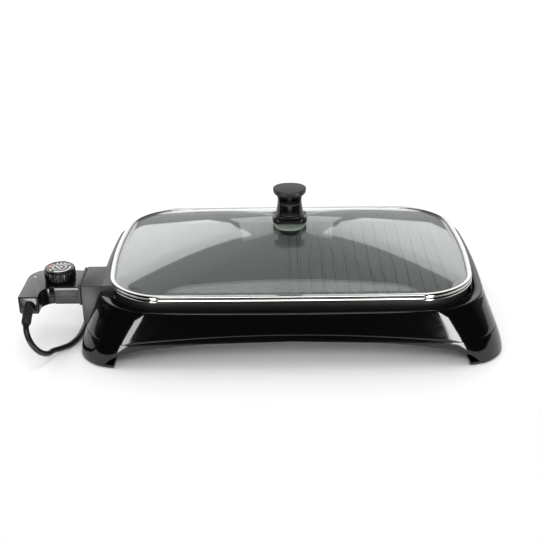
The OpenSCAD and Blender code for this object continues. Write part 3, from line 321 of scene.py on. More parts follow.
FLARE = [(0, 1), (0.07, 0.98), (0.19, 0.9), (0.28, 0.82), (0.43, 0.66), (1, 0)]
FRONT_ARCH = [(0, 1), (0.49, 0.9), (0.6, 0.84), (0.75, 0.72), (0.85, 0.62), (0.95, 0.36), (1, 0)]
SIDE_ARCH = [(0, 1), (0.6, 0.95), (0.8, 0.75), (0.9, 0.45), (1, 0)]


def skirt_shape(z):
    """Outline of the skirt at a height."""
    flare = through(z / DECK_Z, FLARE)
    return [d + flare * (f - d) for d, f in zip(DECK, FOOT)]


def skirt_ring(share, grow, drop=0):
    """Ring on the skirt: 0 at its lower edge, 1 at the crease, 2 at the deck."""
    ring = []
    for i, (x, y) in enumerate(skirt_guide):
        low = 1 + max(35.5 * through(abs(x) / 221, FRONT_ARCH), 19 * through(abs(y) / 95, SIDE_ARCH))
        crease = 31.5 + 13 * max(0, 1 - (x / 202) ** 2)
        z = low + (crease - low) * share if share <= 1 else crease + (DECK_Z - crease) * (share - 1)
        row, t = int(z * 4), z * 4 % 1
        spot = Vector(outlines_by_height[row][i]).lerp(Vector(outlines_by_height[row + 1][i]), t)
        side = skirt_normals[i]
        ring.append((spot.x + side.x * grow, spot.y + side.y * grow, z + drop))
    return ring


outlines_by_height = [outline(skirt_shape(k / 4)) for k in range(300)]
skirt_guide = outline(skirt_shape(20))
skirt_normals = []
for i, (x, y) in enumerate(skirt_guide):
    before, after = skirt_guide[i - 1], skirt_guide[(i + 1) % len(skirt_guide)]
    skirt_normals.append(Vector((before[1] - after[1], after[0] - before[0])).normalized())
    if skirt_normals[i].dot(Vector((x, y))) < 0:
        skirt_normals[i].negate()

# High-gloss ABS: IOR 1.54, almost black, a polished skin with a faint waviness and fine handling
# scratches
gloss_abs, tree = new_material("polished_abs_black")
place = add(tree, "ShaderNodeTexCoord")
sink = add(tree, "ShaderNodeTexNoise", {
    "Vector": place.outputs["Object"], "Scale": 1000 / 60, "Detail": 1})
stretch = add(tree, "ShaderNodeMapping", {
    "Vector": place.outputs["Object"], "Rotation": (0, 0.3, 0.5), "Scale": (0.06, 1, 1)})
scratches = add(tree, "ShaderNodeTexNoise", {
    "Vector": stretch.outputs["Vector"], "Scale": 1000 / 1.2, "Detail": 3})
rough = add(tree, "ShaderNodeMapRange", {
    "Value": scratches.outputs["Fac"], "From Min": 0.45, "From Max": 0.75, "To Min": 0.06,
    "To Max": 0.11})
bump = add(tree, "ShaderNodeBump", {"Height": sink.outputs["Fac"], "Strength": 0.05, "Distance": 0.0006})
shell = add(tree, "ShaderNodeBsdfPrincipled", {
    "Base Color": linear("#060607"), "Roughness": rough.outputs["Result"], "IOR": 1.54,
    "Normal": bump.outputs["Normal"]})
add(tree, "ShaderNodeOutputMaterial", {"Surface": shell.outputs["BSDF"]})

mesh = bmesh.new()
skin(mesh, [skirt_ring(0, -0.5), skirt_ring(0.02, -0.03)]
    + [skirt_ring(s, -0.03) for s in (0.2, 0.4, 0.6, 0.8, 0.9)]
    + [skirt_ring(0.965, -0.1), skirt_ring(0.975, -0.8), skirt_ring(0.985, -0.8), skirt_ring(1, -0.1)]
    + [skirt_ring(s, 0) for s in (1.04, 1.15, 1.3, 1.45, 1.6, 1.75, 1.9)]
    + [level_ring(DECK, 0, DECK_Z - 1.9), level_ring(DECK, -0.15, DECK_Z - 1.1),
       level_ring(DECK, -0.7, DECK_Z - 0.4), level_ring(DECK, -1.4, DECK_Z - 0.08),
       level_ring(DECK, -2.4, DECK_Z), level_ring(LID, 4.7, DECK_Z - 0.2),
       level_ring(LID, 4.0, DECK_Z - 0.5), level_ring(LID, 3.2, DECK_Z - 2.1),
       level_ring(LID, 2.6, DECK_Z - 2.5), level_ring(LID, 0.3, DECK_Z - 2.6),
       level_ring(LID, -0.5, DECK_Z - 2.8), level_ring(LID, -0.8, DECK_Z - 3.5),
       level_ring(LID, -0.8, LEDGE_Z + WALL + 0.3), level_ring(LID, -1.1, LEDGE_Z + WALL),
       level_ring(LID, -13.6, LEDGE_Z + WALL), level_ring(LID, -14, LEDGE_Z + WALL - 0.4),
       level_ring(LID, -14, LEDGE_Z + 0.3), level_ring(LID, -13.7, LEDGE_Z),
       level_ring(LID, 1.8, LEDGE_Z), level_ring(LID, 1.8, DECK_Z - 2.8 - WALL),
       level_ring(DECK, -WALL, DECK_Z - WALL), skirt_ring(1.5, -WALL),
       skirt_ring(0.97, -WALL - 0.8), skirt_ring(0.5, -WALL), skirt_ring(0.02, -WALL)], closed=True)
for sx in (-1, 1):
    for sy in (-1, 1):
        post = Matrix.Translation((sx * POST_X, sy * POST_Y, 0))
        turned(mesh, post, [(POST_R, 3), (POST_R, LEDGE_Z + 0.5)], 24)
        rim = [(x, y) for x, y in outline(FOOT, -WALL / 2, 2) if x * sx > SOLE_X and y * sy > SOLE_Y]
        rim.sort(key=lambda p: math.atan2(p[1] - sy * SOLE_Y, (p[0] - sx * SOLE_X) * sx))
        inner = [(rim[0][0], sy * SOLE_Y), (sx * SOLE_X, sy * SOLE_Y), (sx * SOLE_X, rim[-1][1])]
        sole = rim + (inner[::-1] if sy > 0 else inner)
        skin(mesh, [[(x, y, z) for x, y in sole] for z in (1, 4)])
for x, y in SHIELD_SCREWS:
    turned(mesh, Matrix.Translation((x, y, 0)), [
        (3.5, LEDGE_Z + 0.5), (3.5, LEDGE_Z + 8), (3.1, LEDGE_Z + 8.5)], 20)
frame_moulding = smooth_mesh("frame_moulding", mesh, 40)


def carved(piece, sharp, *changes):
    """The piece after joining or cutting other shapes, which go; sharp is as in smooth_mesh."""
    for tool, how in changes:
        change = piece.modifiers.new(tool.name, "BOOLEAN")
        change.operation, change.object, change.solver, change.use_self = how, tool, "EXACT", True
    made = bpy.data.meshes.new_from_object(piece.evaluated_get(bpy.context.evaluated_depsgraph_get()))
    piece.modifiers.clear()
    piece.data = made
    made.set_sharp_from_angle(angle=math.radians(sharp))
    for tool, how in changes:
        bpy.data.objects.remove(tool)


# The notch is closed off by a slide in the mould, so its edges are crisp. It is deep outside the
# skirt, and shallower over the ledge, where it also lets the probe through.
NOTCH_Y0, NOTCH_Y1, NOTCH_X0, NOTCH_X1, NOTCH_X2 = -91.5, -31.7, -270, -228, -197.2
mesh = bmesh.new()
for x1, low, inset in ((NOTCH_X1, 27.2, 0), (NOTCH_X2, LEDGE_Z - 1.1, 0.01)):
    y0, y1 = NOTCH_Y0 + inset, NOTCH_Y1 - inset
    skin(mesh, [[(x, y, z) for x, y in ((NOTCH_X0, y0), (x1, y0), (x1, y1), (NOTCH_X0, y1))]
        for z in (low, 90)])
notch = smooth_mesh("notch", mesh)
carved(frame_moulding, 40, (notch, "DIFFERENCE"))
show(frame_moulding, "base", "black_gloss_moulding", gloss_abs, "base_housing")

# ---------- foot pads and buffers ----------
# Four moulded rubber pads are pressed into the feet, and four silicone buttons carry the plate.

# Natural rubber, 60 Shore: IOR 1.52, dull black, with talc left in its pores
rubber, tree = new_material("moulded_rubber_black")
place = add(tree, "ShaderNodeTexCoord")
pores = add(tree, "ShaderNodeTexNoise", {
    "Vector": place.outputs["Object"], "Scale": 1000 / 0.7, "Detail": 3})
tone = add(tree, "ShaderNodeMix", {
    "Factor": pores.outputs["Fac"], "A": linear("#161616"), "B": linear("#2c2c2b")}, data_type="RGBA")
bump = add(tree, "ShaderNodeBump", {"Height": pores.outputs["Fac"], "Strength": 0.3, "Distance": 0.0002})
sole_rubber = add(tree, "ShaderNodeBsdfPrincipled", {
    "Base Color": tone.outputs["Result"], "Roughness": 0.8, "IOR": 1.52,
    "Normal": bump.outputs["Normal"]})
add(tree, "ShaderNodeOutputMaterial", {"Surface": sole_rubber.outputs["BSDF"]})


def dress(material, *nodes):
    """Gives CAD nodes that stay in view their material."""
    for node in nodes:
        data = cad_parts[node].data
        data.materials.clear()
        data.materials.append(material)


dress(rubber, "foot_pads")

# Silicone rubber: IOR 1.41, grey, slightly translucent
silicone, tree = new_material("moulded_silicone_grey")
place = add(tree, "ShaderNodeTexCoord")
dust = add(tree, "ShaderNodeTexNoise", {
    "Vector": place.outputs["Object"], "Scale": 1000 / 2, "Detail": 3})
tone = add(tree, "ShaderNodeMix", {
    "Factor": dust.outputs["Fac"], "A": linear("#2e2e2e"), "B": linear("#454543")}, data_type="RGBA")
strip = add(tree, "ShaderNodeBsdfPrincipled", {
    "Base Color": tone.outputs["Result"], "Roughness": 0.5, "IOR": 1.41, "Subsurface Weight": 0.05})
add(tree, "ShaderNodeOutputMaterial", {"Surface": strip.outputs["BSDF"]})
dress(silicone, "plate_buffers", "lid_gasket")

# ---------- heat shield and screws ----------
# A pan of aluminised steel under the heated plate, screwed up into the frame with zinc-plated
# screws. The same screws fix the heater clips and the socket guard.

# Aluminised steel: satin grey with the flow marks of the hot dip along the rolling direction
aluminised, tree = new_material("aluminised_steel")
place = add(tree, "ShaderNodeTexCoord")
stretch = add(tree, "ShaderNodeMapping", {"Vector": place.outputs["Object"], "Scale": (0.08, 1, 1)})
flow = add(tree, "ShaderNodeTexNoise", {
    "Vector": stretch.outputs["Vector"], "Scale": 1000 / 9, "Detail": 5})
tone = add(tree, "ShaderNodeMix", {
    "Factor": flow.outputs["Fac"], "A": linear("#a6a8a8"), "B": linear("#c9cbcb")}, data_type="RGBA")
rough = add(tree, "ShaderNodeMapRange", {"Value": flow.outputs["Fac"], "To Min": 0.28, "To Max": 0.5})
sheet_metal = add(tree, "ShaderNodeBsdfPrincipled", {
    "Base Color": tone.outputs["Result"], "Metallic": 1, "Roughness": rough.outputs["Result"]})
add(tree, "ShaderNodeOutputMaterial", {"Surface": sheet_metal.outputs["BSDF"]})
dress(aluminised, "heat_shield")

# Zinc-plated steel: bluish grey, barrel-plated, a little blotchy
zinc, tree = new_material("zinc_plated_steel")
place = add(tree, "ShaderNodeTexCoord")
blotch = add(tree, "ShaderNodeTexNoise", {
    "Vector": place.outputs["Object"], "Scale": 1000 / 1.8, "Detail": 3})
rough = add(tree, "ShaderNodeMapRange", {"Value": blotch.outputs["Fac"], "To Min": 0.22, "To Max": 0.4})
tone = add(tree, "ShaderNodeMix", {
    "Factor": blotch.outputs["Fac"], "A": linear("#a9adb3"), "B": linear("#c6c8cb")}, data_type="RGBA")
plating = add(tree, "ShaderNodeBsdfPrincipled", {
    "Base Color": tone.outputs["Result"], "Metallic": 1, "Roughness": rough.outputs["Result"]})
add(tree, "ShaderNodeOutputMaterial", {"Surface": plating.outputs["BSDF"]})
dress(zinc, "shield_screws", "clip_screws", "shroud_screws", "cover_screws", "element_clips",
    "dial_shaft", "terminal_pins")

# ---------- cooking plate ----------
# A die-cast aluminium plate with a sprayed non-stick coat, flat on its left half and ridged on
# its right. Bosses for the heater clips, the legs and the probe's pocket are cast on below.
PLATE_TOP, COOK_Z, PLATE_LOW = 80.5, 72.5, 66.5
RIDGE_X = [12 + 15.2 * k for k in range(13)]
PROBE_Y, PROBE_Z = -61, 62.9

# PTFE coat, two layers over blasted metal: IOR 1.38 for the resin, dark grey, satin, with mica
# flecks about 1 mm apart, drawn twice their size so that they show
nonstick, tree = new_material("sprayed_nonstick_grey")
place = add(tree, "ShaderNodeTexCoord")
flecks = add(tree, "ShaderNodeTexVoronoi", {"Vector": place.outputs["Object"], "Scale": 1000 / 1.6})
bright = add(tree, "ShaderNodeMapRange", {
    "Value": flecks.outputs["Distance"], "From Min": 0.12, "From Max": 0.2, "To Min": 1, "To Max": 0})
cloud = add(tree, "ShaderNodeTexNoise", {
    "Vector": place.outputs["Object"], "Scale": 1000 / 25, "Detail": 4})
ground = add(tree, "ShaderNodeMix", {
    "Factor": cloud.outputs["Fac"], "A": linear("#18191b"), "B": linear("#232426")}, data_type="RGBA")
tone = add(tree, "ShaderNodeMix", {
    "Factor": bright.outputs["Result"], "A": ground.outputs["Result"], "B": linear("#48494b")},
    data_type="RGBA")
peel = add(tree, "ShaderNodeTexNoise", {
    "Vector": place.outputs["Object"], "Scale": 1000 / 1.1, "Detail": 2})
bump = add(tree, "ShaderNodeBump", {"Height": peel.outputs["Fac"], "Strength": 0.35, "Distance": 0.0003})
coat = add(tree, "ShaderNodeBsdfPrincipled", {
    "Base Color": tone.outputs["Result"], "Roughness": 0.5, "IOR": 1.38,
    "Normal": bump.outputs["Normal"]})
add(tree, "ShaderNodeOutputMaterial", {"Surface": coat.outputs["BSDF"]})

mesh = bmesh.new()
skin(mesh, [level_ring(LID, g, z) for g, z in (
    (-3.4, PLATE_LOW), (-3, PLATE_LOW + 0.5), (-3, PLATE_TOP - 0.9), (-3.15, PLATE_TOP - 0.4),
    (-3.6, PLATE_TOP - 0.05), (-4, PLATE_TOP), (-8.4, PLATE_TOP), (-9.4, 80.3), (-10.6, 79.6),
    (-17.4, 74.3), (-19, 73.2), (-20.6, 72.65), (-22.4, COOK_Z))])
for k, x in enumerate(RIDGE_X):
    half = 97.5 if k > 10 else 113.5
    rows = [(half, 0), (half - 0.6, 0.45), (half - 2, 0.85), (half - 4, 1)]
    ends = [(-reach, size) for reach, size in rows] + [(reach, size) for reach, size in rows[::-1]]
    skin(mesh, [[(x + u * (0.4 + 0.6 * size), y, COOK_Z - 0.3 + h * size) for u, h in (
        (-2.5, 0), (-2.2, 0.7), (-1.6, 2.1), (-1.2, 2.55), (-0.6, 2.75), (0.6, 2.75), (1.2, 2.55),
        (1.6, 2.1), (2.2, 0.7), (2.5, 0))] for y, size in ends])
skin(mesh, [[(u, y, COOK_Z - 0.3 + h) for u, h in (
    (-1.5, 0), (-1.4, 1.4), (-0.9, 2), (0.9, 2), (1.4, 1.4), (1.5, 0))] for y in (-119.5, 119.5)])
for x in (-60, 100):
    for y in (-77, 90):
        for side in (-9, 9):
            turned(mesh, Matrix.Translation((x, y + side, 0)),
                [(3.4, PLATE_LOW + 0.3), (3.4, PLATE_LOW - 7.15)], 24)
for sx in (-1, 1):
    for sy in (-1, 1):
        turned(mesh, Matrix.Translation((sx * 140, sy * 133.3, 0)),
            [(4.5, PLATE_LOW + 0.3), (4.5, 50.7), (4.1, 50.3)], 24)
turned(mesh, Matrix.Translation((-209, PROBE_Y, PROBE_Z)) @ ALONG_X, [
    (6.2, 0), (6.4, 0.2), (6.4, 64), (5.4, 66)], 32)
cooking_plate = smooth_mesh("cooking_plate", mesh, 40)
mesh = bmesh.new()
turned(mesh, Matrix.Translation((-191.7, -94.5, 0)), [(8.6, COOK_Z - 2), (9, COOK_Z - 1.6), (9, 79)], 40)
turned(mesh, Matrix.Translation((-210, PROBE_Y, PROBE_Z)) @ ALONG_X, [(3.3, 0), (3.3, 62)], 32)
well = smooth_mesh("well", mesh)
carved(cooking_plate, 40, (well, "DIFFERENCE"))
show(cooking_plate, "plate", "nonstick_aluminium", nonstick, "griddle_plate")

# ---------- heater ----------
# A sheathed tubular heater, bent to a loop and clipped against the plate. Its ends come out
# through steatite bushes as plated pins in the socket.

# Stainless heater sheath, annealed: straw to grey-brown oxide, satin
heater_sheath, tree = new_material("annealed_heater_sheath")
place = add(tree, "ShaderNodeTexCoord")
oxide = add(tree, "ShaderNodeTexNoise", {
    "Vector": place.outputs["Object"], "Scale": 1000 / 40, "Detail": 4})
tone = add(tree, "ShaderNodeMix", {
    "Factor": oxide.outputs["Fac"], "A": linear("#5d564e"), "B": linear("#8b8274")}, data_type="RGBA")
tube = add(tree, "ShaderNodeBsdfPrincipled", {
    "Base Color": tone.outputs["Result"], "Metallic": 1, "Roughness": 0.42})
add(tree, "ShaderNodeOutputMaterial", {"Surface": tube.outputs["BSDF"]})
dress(heater_sheath, "heating_element")

# Steatite: IOR 1.57, off-white, fired, with a slight speckle
steatite, tree = new_material("fired_steatite")
place = add(tree, "ShaderNodeTexCoord")
speckle = add(tree, "ShaderNodeTexNoise", {
    "Vector": place.outputs["Object"], "Scale": 1000 / 0.5, "Detail": 2})
tone = add(tree, "ShaderNodeMix", {
    "Factor": speckle.outputs["Fac"], "A": linear("#d5d0c4"), "B": linear("#eeeae0")}, data_type="RGBA")
bush = add(tree, "ShaderNodeBsdfPrincipled", {
    "Base Color": tone.outputs["Result"], "Roughness": 0.45, "IOR": 1.57})
add(tree, "ShaderNodeOutputMaterial", {"Surface": bush.outputs["BSDF"]})
dress(steatite, "pin_insulators")


# ---------- socket guard ----------
# A matt block of glass-filled nylon, screwed to the plate, shields the pins of the socket. Its
# upper half reaches over the frame to the plate, and its corners are barely rounded.
GUARD_X, GUARD_LOW_X, GUARD_Y0, GUARD_Y1, GUARD_Z0, GUARD_Z1 = -257.2, -229, -90.5, -32.7, 28.2, 79.5

# Glass-filled nylon: IOR 1.53, dark grey, matt, with fibres at the surface
filled_nylon, tree = new_material("glass_filled_nylon_grey")
place = add(tree, "ShaderNodeTexCoord")
fibres = add(tree, "ShaderNodeTexNoise", {
    "Vector": place.outputs["Object"], "Scale": 1000 / 0.9, "Detail": 3})
tone = add(tree, "ShaderNodeMix", {
    "Factor": fibres.outputs["Fac"], "A": linear("#2c2c2e"), "B": linear("#3b3b3d")}, data_type="RGBA")
bump = add(tree, "ShaderNodeBump", {"Height": fibres.outputs["Fac"], "Strength": 0.2, "Distance": 0.0002})
block = add(tree, "ShaderNodeBsdfPrincipled", {
    "Base Color": tone.outputs["Result"], "Roughness": 0.34, "IOR": 1.53,
    "Normal": bump.outputs["Normal"]})
add(tree, "ShaderNodeOutputMaterial", {"Surface": block.outputs["BSDF"]})


def box_rings(x0, x1, y0, y1, edge, levels, steps=4):
    """Rings of a block with rounded upright edges: each level is (height, shrink)."""
    return [[(x + (x0 + x1) / 2, y + (y0 + y1) / 2, z) for x, y in
             rounded(x1 - x0 - 2 * shrink, y1 - y0 - 2 * shrink, max(edge - shrink, 0.15), steps)]
            for z, shrink in levels]


mesh = bmesh.new()
skin(mesh, box_rings(GUARD_X, GUARD_LOW_X, GUARD_Y0, GUARD_Y1, 1.2, [
    (GUARD_Z0, 0.4), (GUARD_Z0 + 0.4, 0), (GUARD_Z1 - 0.9, 0), (GUARD_Z1 - 0.3, 0.25), (GUARD_Z1, 0.9)]))
socket_guard = smooth_mesh("socket_guard", mesh)
plate_edge = sorted(((x, y) for x, y in outline(LID, -2.65) if x < -150), key=lambda p: p[1])


def plate_edge_x(y):
    """Left edge of the plate's clearance at y."""
    for (xa, ya), (xb, yb) in zip(plate_edge, plate_edge[1:]):
        if ya <= y <= yb:
            return xa + (xb - xa) * (y - ya) / (yb - ya)
    return plate_edge[0][0]


reach_plan = [(GUARD_LOW_X - 2, GUARD_Y1 - 0.02), (GUARD_LOW_X - 2, GUARD_Y0 + 0.02)] + [
    (plate_edge_x(y), y) for y in [GUARD_Y0 + 0.02 + 57.76 * k / 22 for k in range(23)]]
mesh = bmesh.new()
skin(mesh, [[(x, y + (shrink if y < -61 else -shrink), z) for x, y in reach_plan] for z, shrink in (
    (51.2, 0.3), (51.5, 0), (GUARD_Z1 - 0.9, 0), (GUARD_Z1 - 0.3, 0.2), (GUARD_Z1, 0.8))])
guard_reach = smooth_mesh("guard_reach", mesh)
mesh = bmesh.new()
skin(mesh, box_rings(GUARD_X + 3, GUARD_LOW_X - 3, GUARD_Y0 + 3, GUARD_Y1 - 3, 0.6,
    [(20, 0), (GUARD_Z1 - 3, 0)]))
skin(mesh, box_rings(GUARD_X - 2, GUARD_X + 4, -83.1, -38.9, 4, [(54.7, 0), (71.1, 0)]))
skin(mesh, box_rings(GUARD_LOW_X + 0.5, -190, GUARD_Y0 + 3, GUARD_Y1 - 3, 0.5,
    [(40, 0), (GUARD_Z1 - 3, 0)]))
hollow = smooth_mesh("hollow", mesh)
carved(socket_guard, 32, (guard_reach, "UNION"), (hollow, "DIFFERENCE"))
show(socket_guard, "plate", "grey_matt_moulding", filled_nylon, "socket_shroud")

# ---------- lid rim ----------
# A band of polished stainless steel, roll-formed to a C section and closed round the glass. Its
# face is stepped: a rounded top bead, a groove, and a flat lower lip.
RIM_LOW, RIM_TOP = 80.7, 89.2

# Stainless steel 1.4016, bright annealed: mirror-like, with the faintest lengthwise rolling lines
bright_steel, tree = new_material("polished_stainless_steel")
place = add(tree, "ShaderNodeTexCoord")
stretch = add(tree, "ShaderNodeMapping", {"Vector": place.outputs["Object"], "Scale": (0.05, 0.05, 1)})
rolling = add(tree, "ShaderNodeTexNoise", {
    "Vector": stretch.outputs["Vector"], "Scale": 1000 / 0.8, "Detail": 3})
rough = add(tree, "ShaderNodeMapRange", {"Value": rolling.outputs["Fac"], "To Min": 0.05, "To Max": 0.16})
band = add(tree, "ShaderNodeBsdfPrincipled", {
    "Base Color": linear("#dcdcd8"), "Metallic": 1, "Roughness": rough.outputs["Result"]})
add(tree, "ShaderNodeOutputMaterial", {"Surface": band.outputs["BSDF"]})

mesh = bmesh.new()
skin(mesh, [level_ring(LID, g, z) for g, z in (
    (-6.4, RIM_LOW), (-1.2, RIM_LOW), (-0.5, RIM_LOW + 0.15), (-0.1, RIM_LOW + 0.6),
    (0, RIM_LOW + 1.2), (-0.1, RIM_LOW + 2.4), (-0.5, RIM_LOW + 3.1), (-1, RIM_LOW + 3.5),
    (-1.1, RIM_LOW + 4), (-0.8, RIM_LOW + 4.5), (-0.2, RIM_LOW + 5), (0, RIM_LOW + 5.8),
    (-0.1, RIM_TOP - 1.4), (-0.5, RIM_TOP - 0.6), (-1.3, RIM_TOP - 0.1), (-2.2, RIM_TOP),
    (-5.2, RIM_TOP - 0.05), (-5.9, RIM_TOP - 0.3), (-6.1, RIM_TOP - 0.7), (-5.8, RIM_TOP - 0.8),
    (-2.2, RIM_TOP - 0.8), (-1.9, RIM_TOP - 1.2), (-1.9, RIM_LOW + 1), (-2.2, RIM_LOW + 0.8),
    (-6.4, RIM_LOW + 0.8))],
    closed=True)
rim_band = smooth_mesh("rim_band", mesh, 50)
show(rim_band, "lid", "steel_rim", bright_steel, "lid_rim")

# ---------- lid glass ----------
# One pane of soda-lime glass, 4 mm thick, sagged to a shallow dome and heat-toughened. Its edge
# sits in the steel band on a silicone strip.
GLASS_EDGE, DOME_H, GLASS_T = 88.2, 36.8, 4

# Toughened soda-lime glass: IOR 1.52, clear, a trace of green from its iron
lid_glass_clear, tree = new_material("toughened_soda_lime_glass")
place = add(tree, "ShaderNodeTexCoord")
roller = add(tree, "ShaderNodeTexNoise", {
    "Vector": place.outputs["Object"], "Scale": 1000 / 70, "Detail": 1})
bump = add(tree, "ShaderNodeBump", {
    "Height": roller.outputs["Fac"], "Strength": 0.04, "Distance": 0.0006})
pane = add(tree, "ShaderNodeBsdfPrincipled", {
    "Base Color": linear("#f4faf7"), "Roughness": 0, "IOR": 1.52, "Transmission Weight": 1,
    "Normal": bump.outputs["Normal"]})
through_light = add(tree, "ShaderNodeBsdfTransparent", {"Color": linear("#f3f8f5")})
rays = add(tree, "ShaderNodeLightPath")
mixed = add(tree, "ShaderNodeMixShader", {
    0: rays.outputs["Is Shadow Ray"], 1: pane.outputs["BSDF"], 2: through_light.outputs["BSDF"]})
add(tree, "ShaderNodeOutputMaterial", {"Surface": mixed.outputs["Shader"]})


def dome_ring(share, drop):
    """Ring on the dome: 1 at its edge, 0 at its top; an oval near the top."""
    front, side = 1.6 + 16 * (1 - share), 13.7 + 24 * (1 - share)
    a, b, r = 225.7 - 6.5 - side, 142.5 - 6.5 - front, 57.6 - 6.5
    shape = [share * v for v in (a, b, r + (b - r) * 0.8 * (1 - share), front, side)]
    return level_ring(shape, 0, GLASS_EDGE + DOME_H * (1 - share ** 1.8) + drop)


mesh = bmesh.new()
spread = [1 - 0.0313 * k for k in range(32)]
skin(mesh, [level_ring(LID, -6.5, GLASS_EDGE - GLASS_T), level_ring(LID, -2, GLASS_EDGE - GLASS_T),
            level_ring(LID, -1.6, GLASS_EDGE - GLASS_T + 0.5),
            level_ring(LID, -1.6, GLASS_EDGE - 0.6), level_ring(LID, -2.1, GLASS_EDGE - 0.05)]
     + [dome_ring(s, 0) for s in spread] + [[(x, y, 121) for x, y, z in dome_ring(0.0297, -GLASS_T)]]
     + [dome_ring(s, -GLASS_T) for s in spread[:0:-1]], closed=True)
glass_dome = smooth_mesh("glass_dome", mesh, 60)
show(glass_dome, "lid", "tempered_glass", lid_glass_clear, "lid_glass")

# ---------- knob: washer, spacer and screw ----------
# A long screw with a cross recess comes up through a black spacer and a clear silicone washer
# below the glass, and clamps the knob against a clear ring above it.

# Clear silicone: IOR 1.41, milky where it is thick
clear_silicone, tree = new_material("clear_silicone")
place = add(tree, "ShaderNodeTexCoord")
haze = add(tree, "ShaderNodeTexNoise", {
    "Vector": place.outputs["Object"], "Scale": 1000 / 3, "Detail": 2})
rough = add(tree, "ShaderNodeMapRange", {"Value": haze.outputs["Fac"], "To Min": 0.25, "To Max": 0.4})
gel = add(tree, "ShaderNodeBsdfPrincipled", {
    "Base Color": linear("#e3e5e0"), "Roughness": rough.outputs["Result"], "IOR": 1.41,
    "Transmission Weight": 0.75})
add(tree, "ShaderNodeOutputMaterial", {"Surface": gel.outputs["BSDF"]})
KNOB = Matrix.Identity(4)
mesh = bmesh.new()
turned(mesh, KNOB, [(2.8, 117.65), (19.3, 117.65), (19.9, 118.2), (19.9, 119), (19.3, 119.55),
    (8, 119.6), (8, 120.6), (2.8, 120.65)], 64)
seal_under = smooth_mesh("seal_under", mesh)
show(seal_under, "lid", "clear_silicone", clear_silicone, "knob_washer")
mesh = bmesh.new()
turned(mesh, KNOB, [(2.8, 125.06), (12.7, 125.06), (13, 125.25), (12.7, 125.44), (2.8, 125.44)], 64)
seal_over = smooth_mesh("seal_over", mesh)
show(seal_over, "lid", "clear_silicone", clear_silicone, "knob_seal")
mesh = bmesh.new()
turned(mesh, KNOB, [
    (5.5, 108.6), (11.9, 108.6), (12.4, 109), (12.5, 109.6), (12.5, 116.9), (12.1, 117.5),
    (2.8, 117.55), (2.8, 112.2), (5.4, 112.1)], 64)
for k in range(8):
    around = Matrix.Rotation(math.radians(45 * k + 22), 4, "Z")
    skin(mesh, [[around @ Vector((x, y, z))
        for x, y in ((12, -0.6), (12.49, -0.5), (12.49, 0.5), (12, 0.6))] for z in (109.8, 116.6)])
spacer = smooth_mesh("spacer", mesh)

# Glass-filled phenolic, compression moulded: IOR 1.6, black, glossy from the polished tool
phenolic_black, tree = new_material("moulded_phenolic_black")
place = add(tree, "ShaderNodeTexCoord")
filler = add(tree, "ShaderNodeTexNoise", {
    "Vector": place.outputs["Object"], "Scale": 1000 / 1.4, "Detail": 3})
rough = add(tree, "ShaderNodeMapRange", {"Value": filler.outputs["Fac"], "To Min": 0.1, "To Max": 0.2})
bump = add(tree, "ShaderNodeBump", {
    "Height": filler.outputs["Fac"], "Strength": 0.05, "Distance": 0.0003})
resin = add(tree, "ShaderNodeBsdfPrincipled", {
    "Base Color": linear("#0b0b0c"), "Roughness": rough.outputs["Result"], "IOR": 1.6,
    "Normal": bump.outputs["Normal"]})
add(tree, "ShaderNodeOutputMaterial", {"Surface": resin.outputs["BSDF"]})
show(spacer, "lid", "black_gloss_moulding", phenolic_black, "knob_boss")
dress(zinc, "knob_screw")

# ---------- knob: flange and grip ----------
# The flange is a glossy phenolic plinth. The grip on it is a satin moulding with a waist, a
# flared cap, solid sides and back, and two finger shelves across its open front.
FLANGE_Z, GRIP_Z, CAP_Z = 125.5, 134.5, 172.5

mesh = bmesh.new()
skin(mesh, [[(x, y, FLANGE_Z + z) for x, y in rounded(44 + 2 * g, 30 + 2 * g, 9 + g, 10)] for z, g in (
    (0, -3.5), (0.5, -2.3), (1.2, -1.3), (2.2, -0.6), (3.2, -0.15), (4.2, 0), (8, 0), (8.6, -0.25),
    (9, -0.9))])
knob_plinth = smooth_mesh("knob_plinth", mesh)
show(knob_plinth, "lid", "black_gloss_moulding", phenolic_black, "knob_flange")

# Phenolic from a blasted tool: IOR 1.6, charcoal, satin, finely grained
satin_phenolic, tree = new_material("satin_phenolic_charcoal")
place = add(tree, "ShaderNodeTexCoord")
grain = add(tree, "ShaderNodeTexNoise", {
    "Vector": place.outputs["Object"], "Scale": 1000 / 0.7, "Detail": 3})
tone = add(tree, "ShaderNodeMix", {
    "Factor": grain.outputs["Fac"], "A": linear("#232322"), "B": linear("#2e2e2d")}, data_type="RGBA")
bump = add(tree, "ShaderNodeBump", {"Height": grain.outputs["Fac"], "Strength": 0.15, "Distance": 0.0002})
satin = add(tree, "ShaderNodeBsdfPrincipled", {
    "Base Color": tone.outputs["Result"], "Roughness": 0.3, "IOR": 1.6, "Normal": bump.outputs["Normal"]})
add(tree, "ShaderNodeOutputMaterial", {"Surface": satin.outputs["BSDF"]})


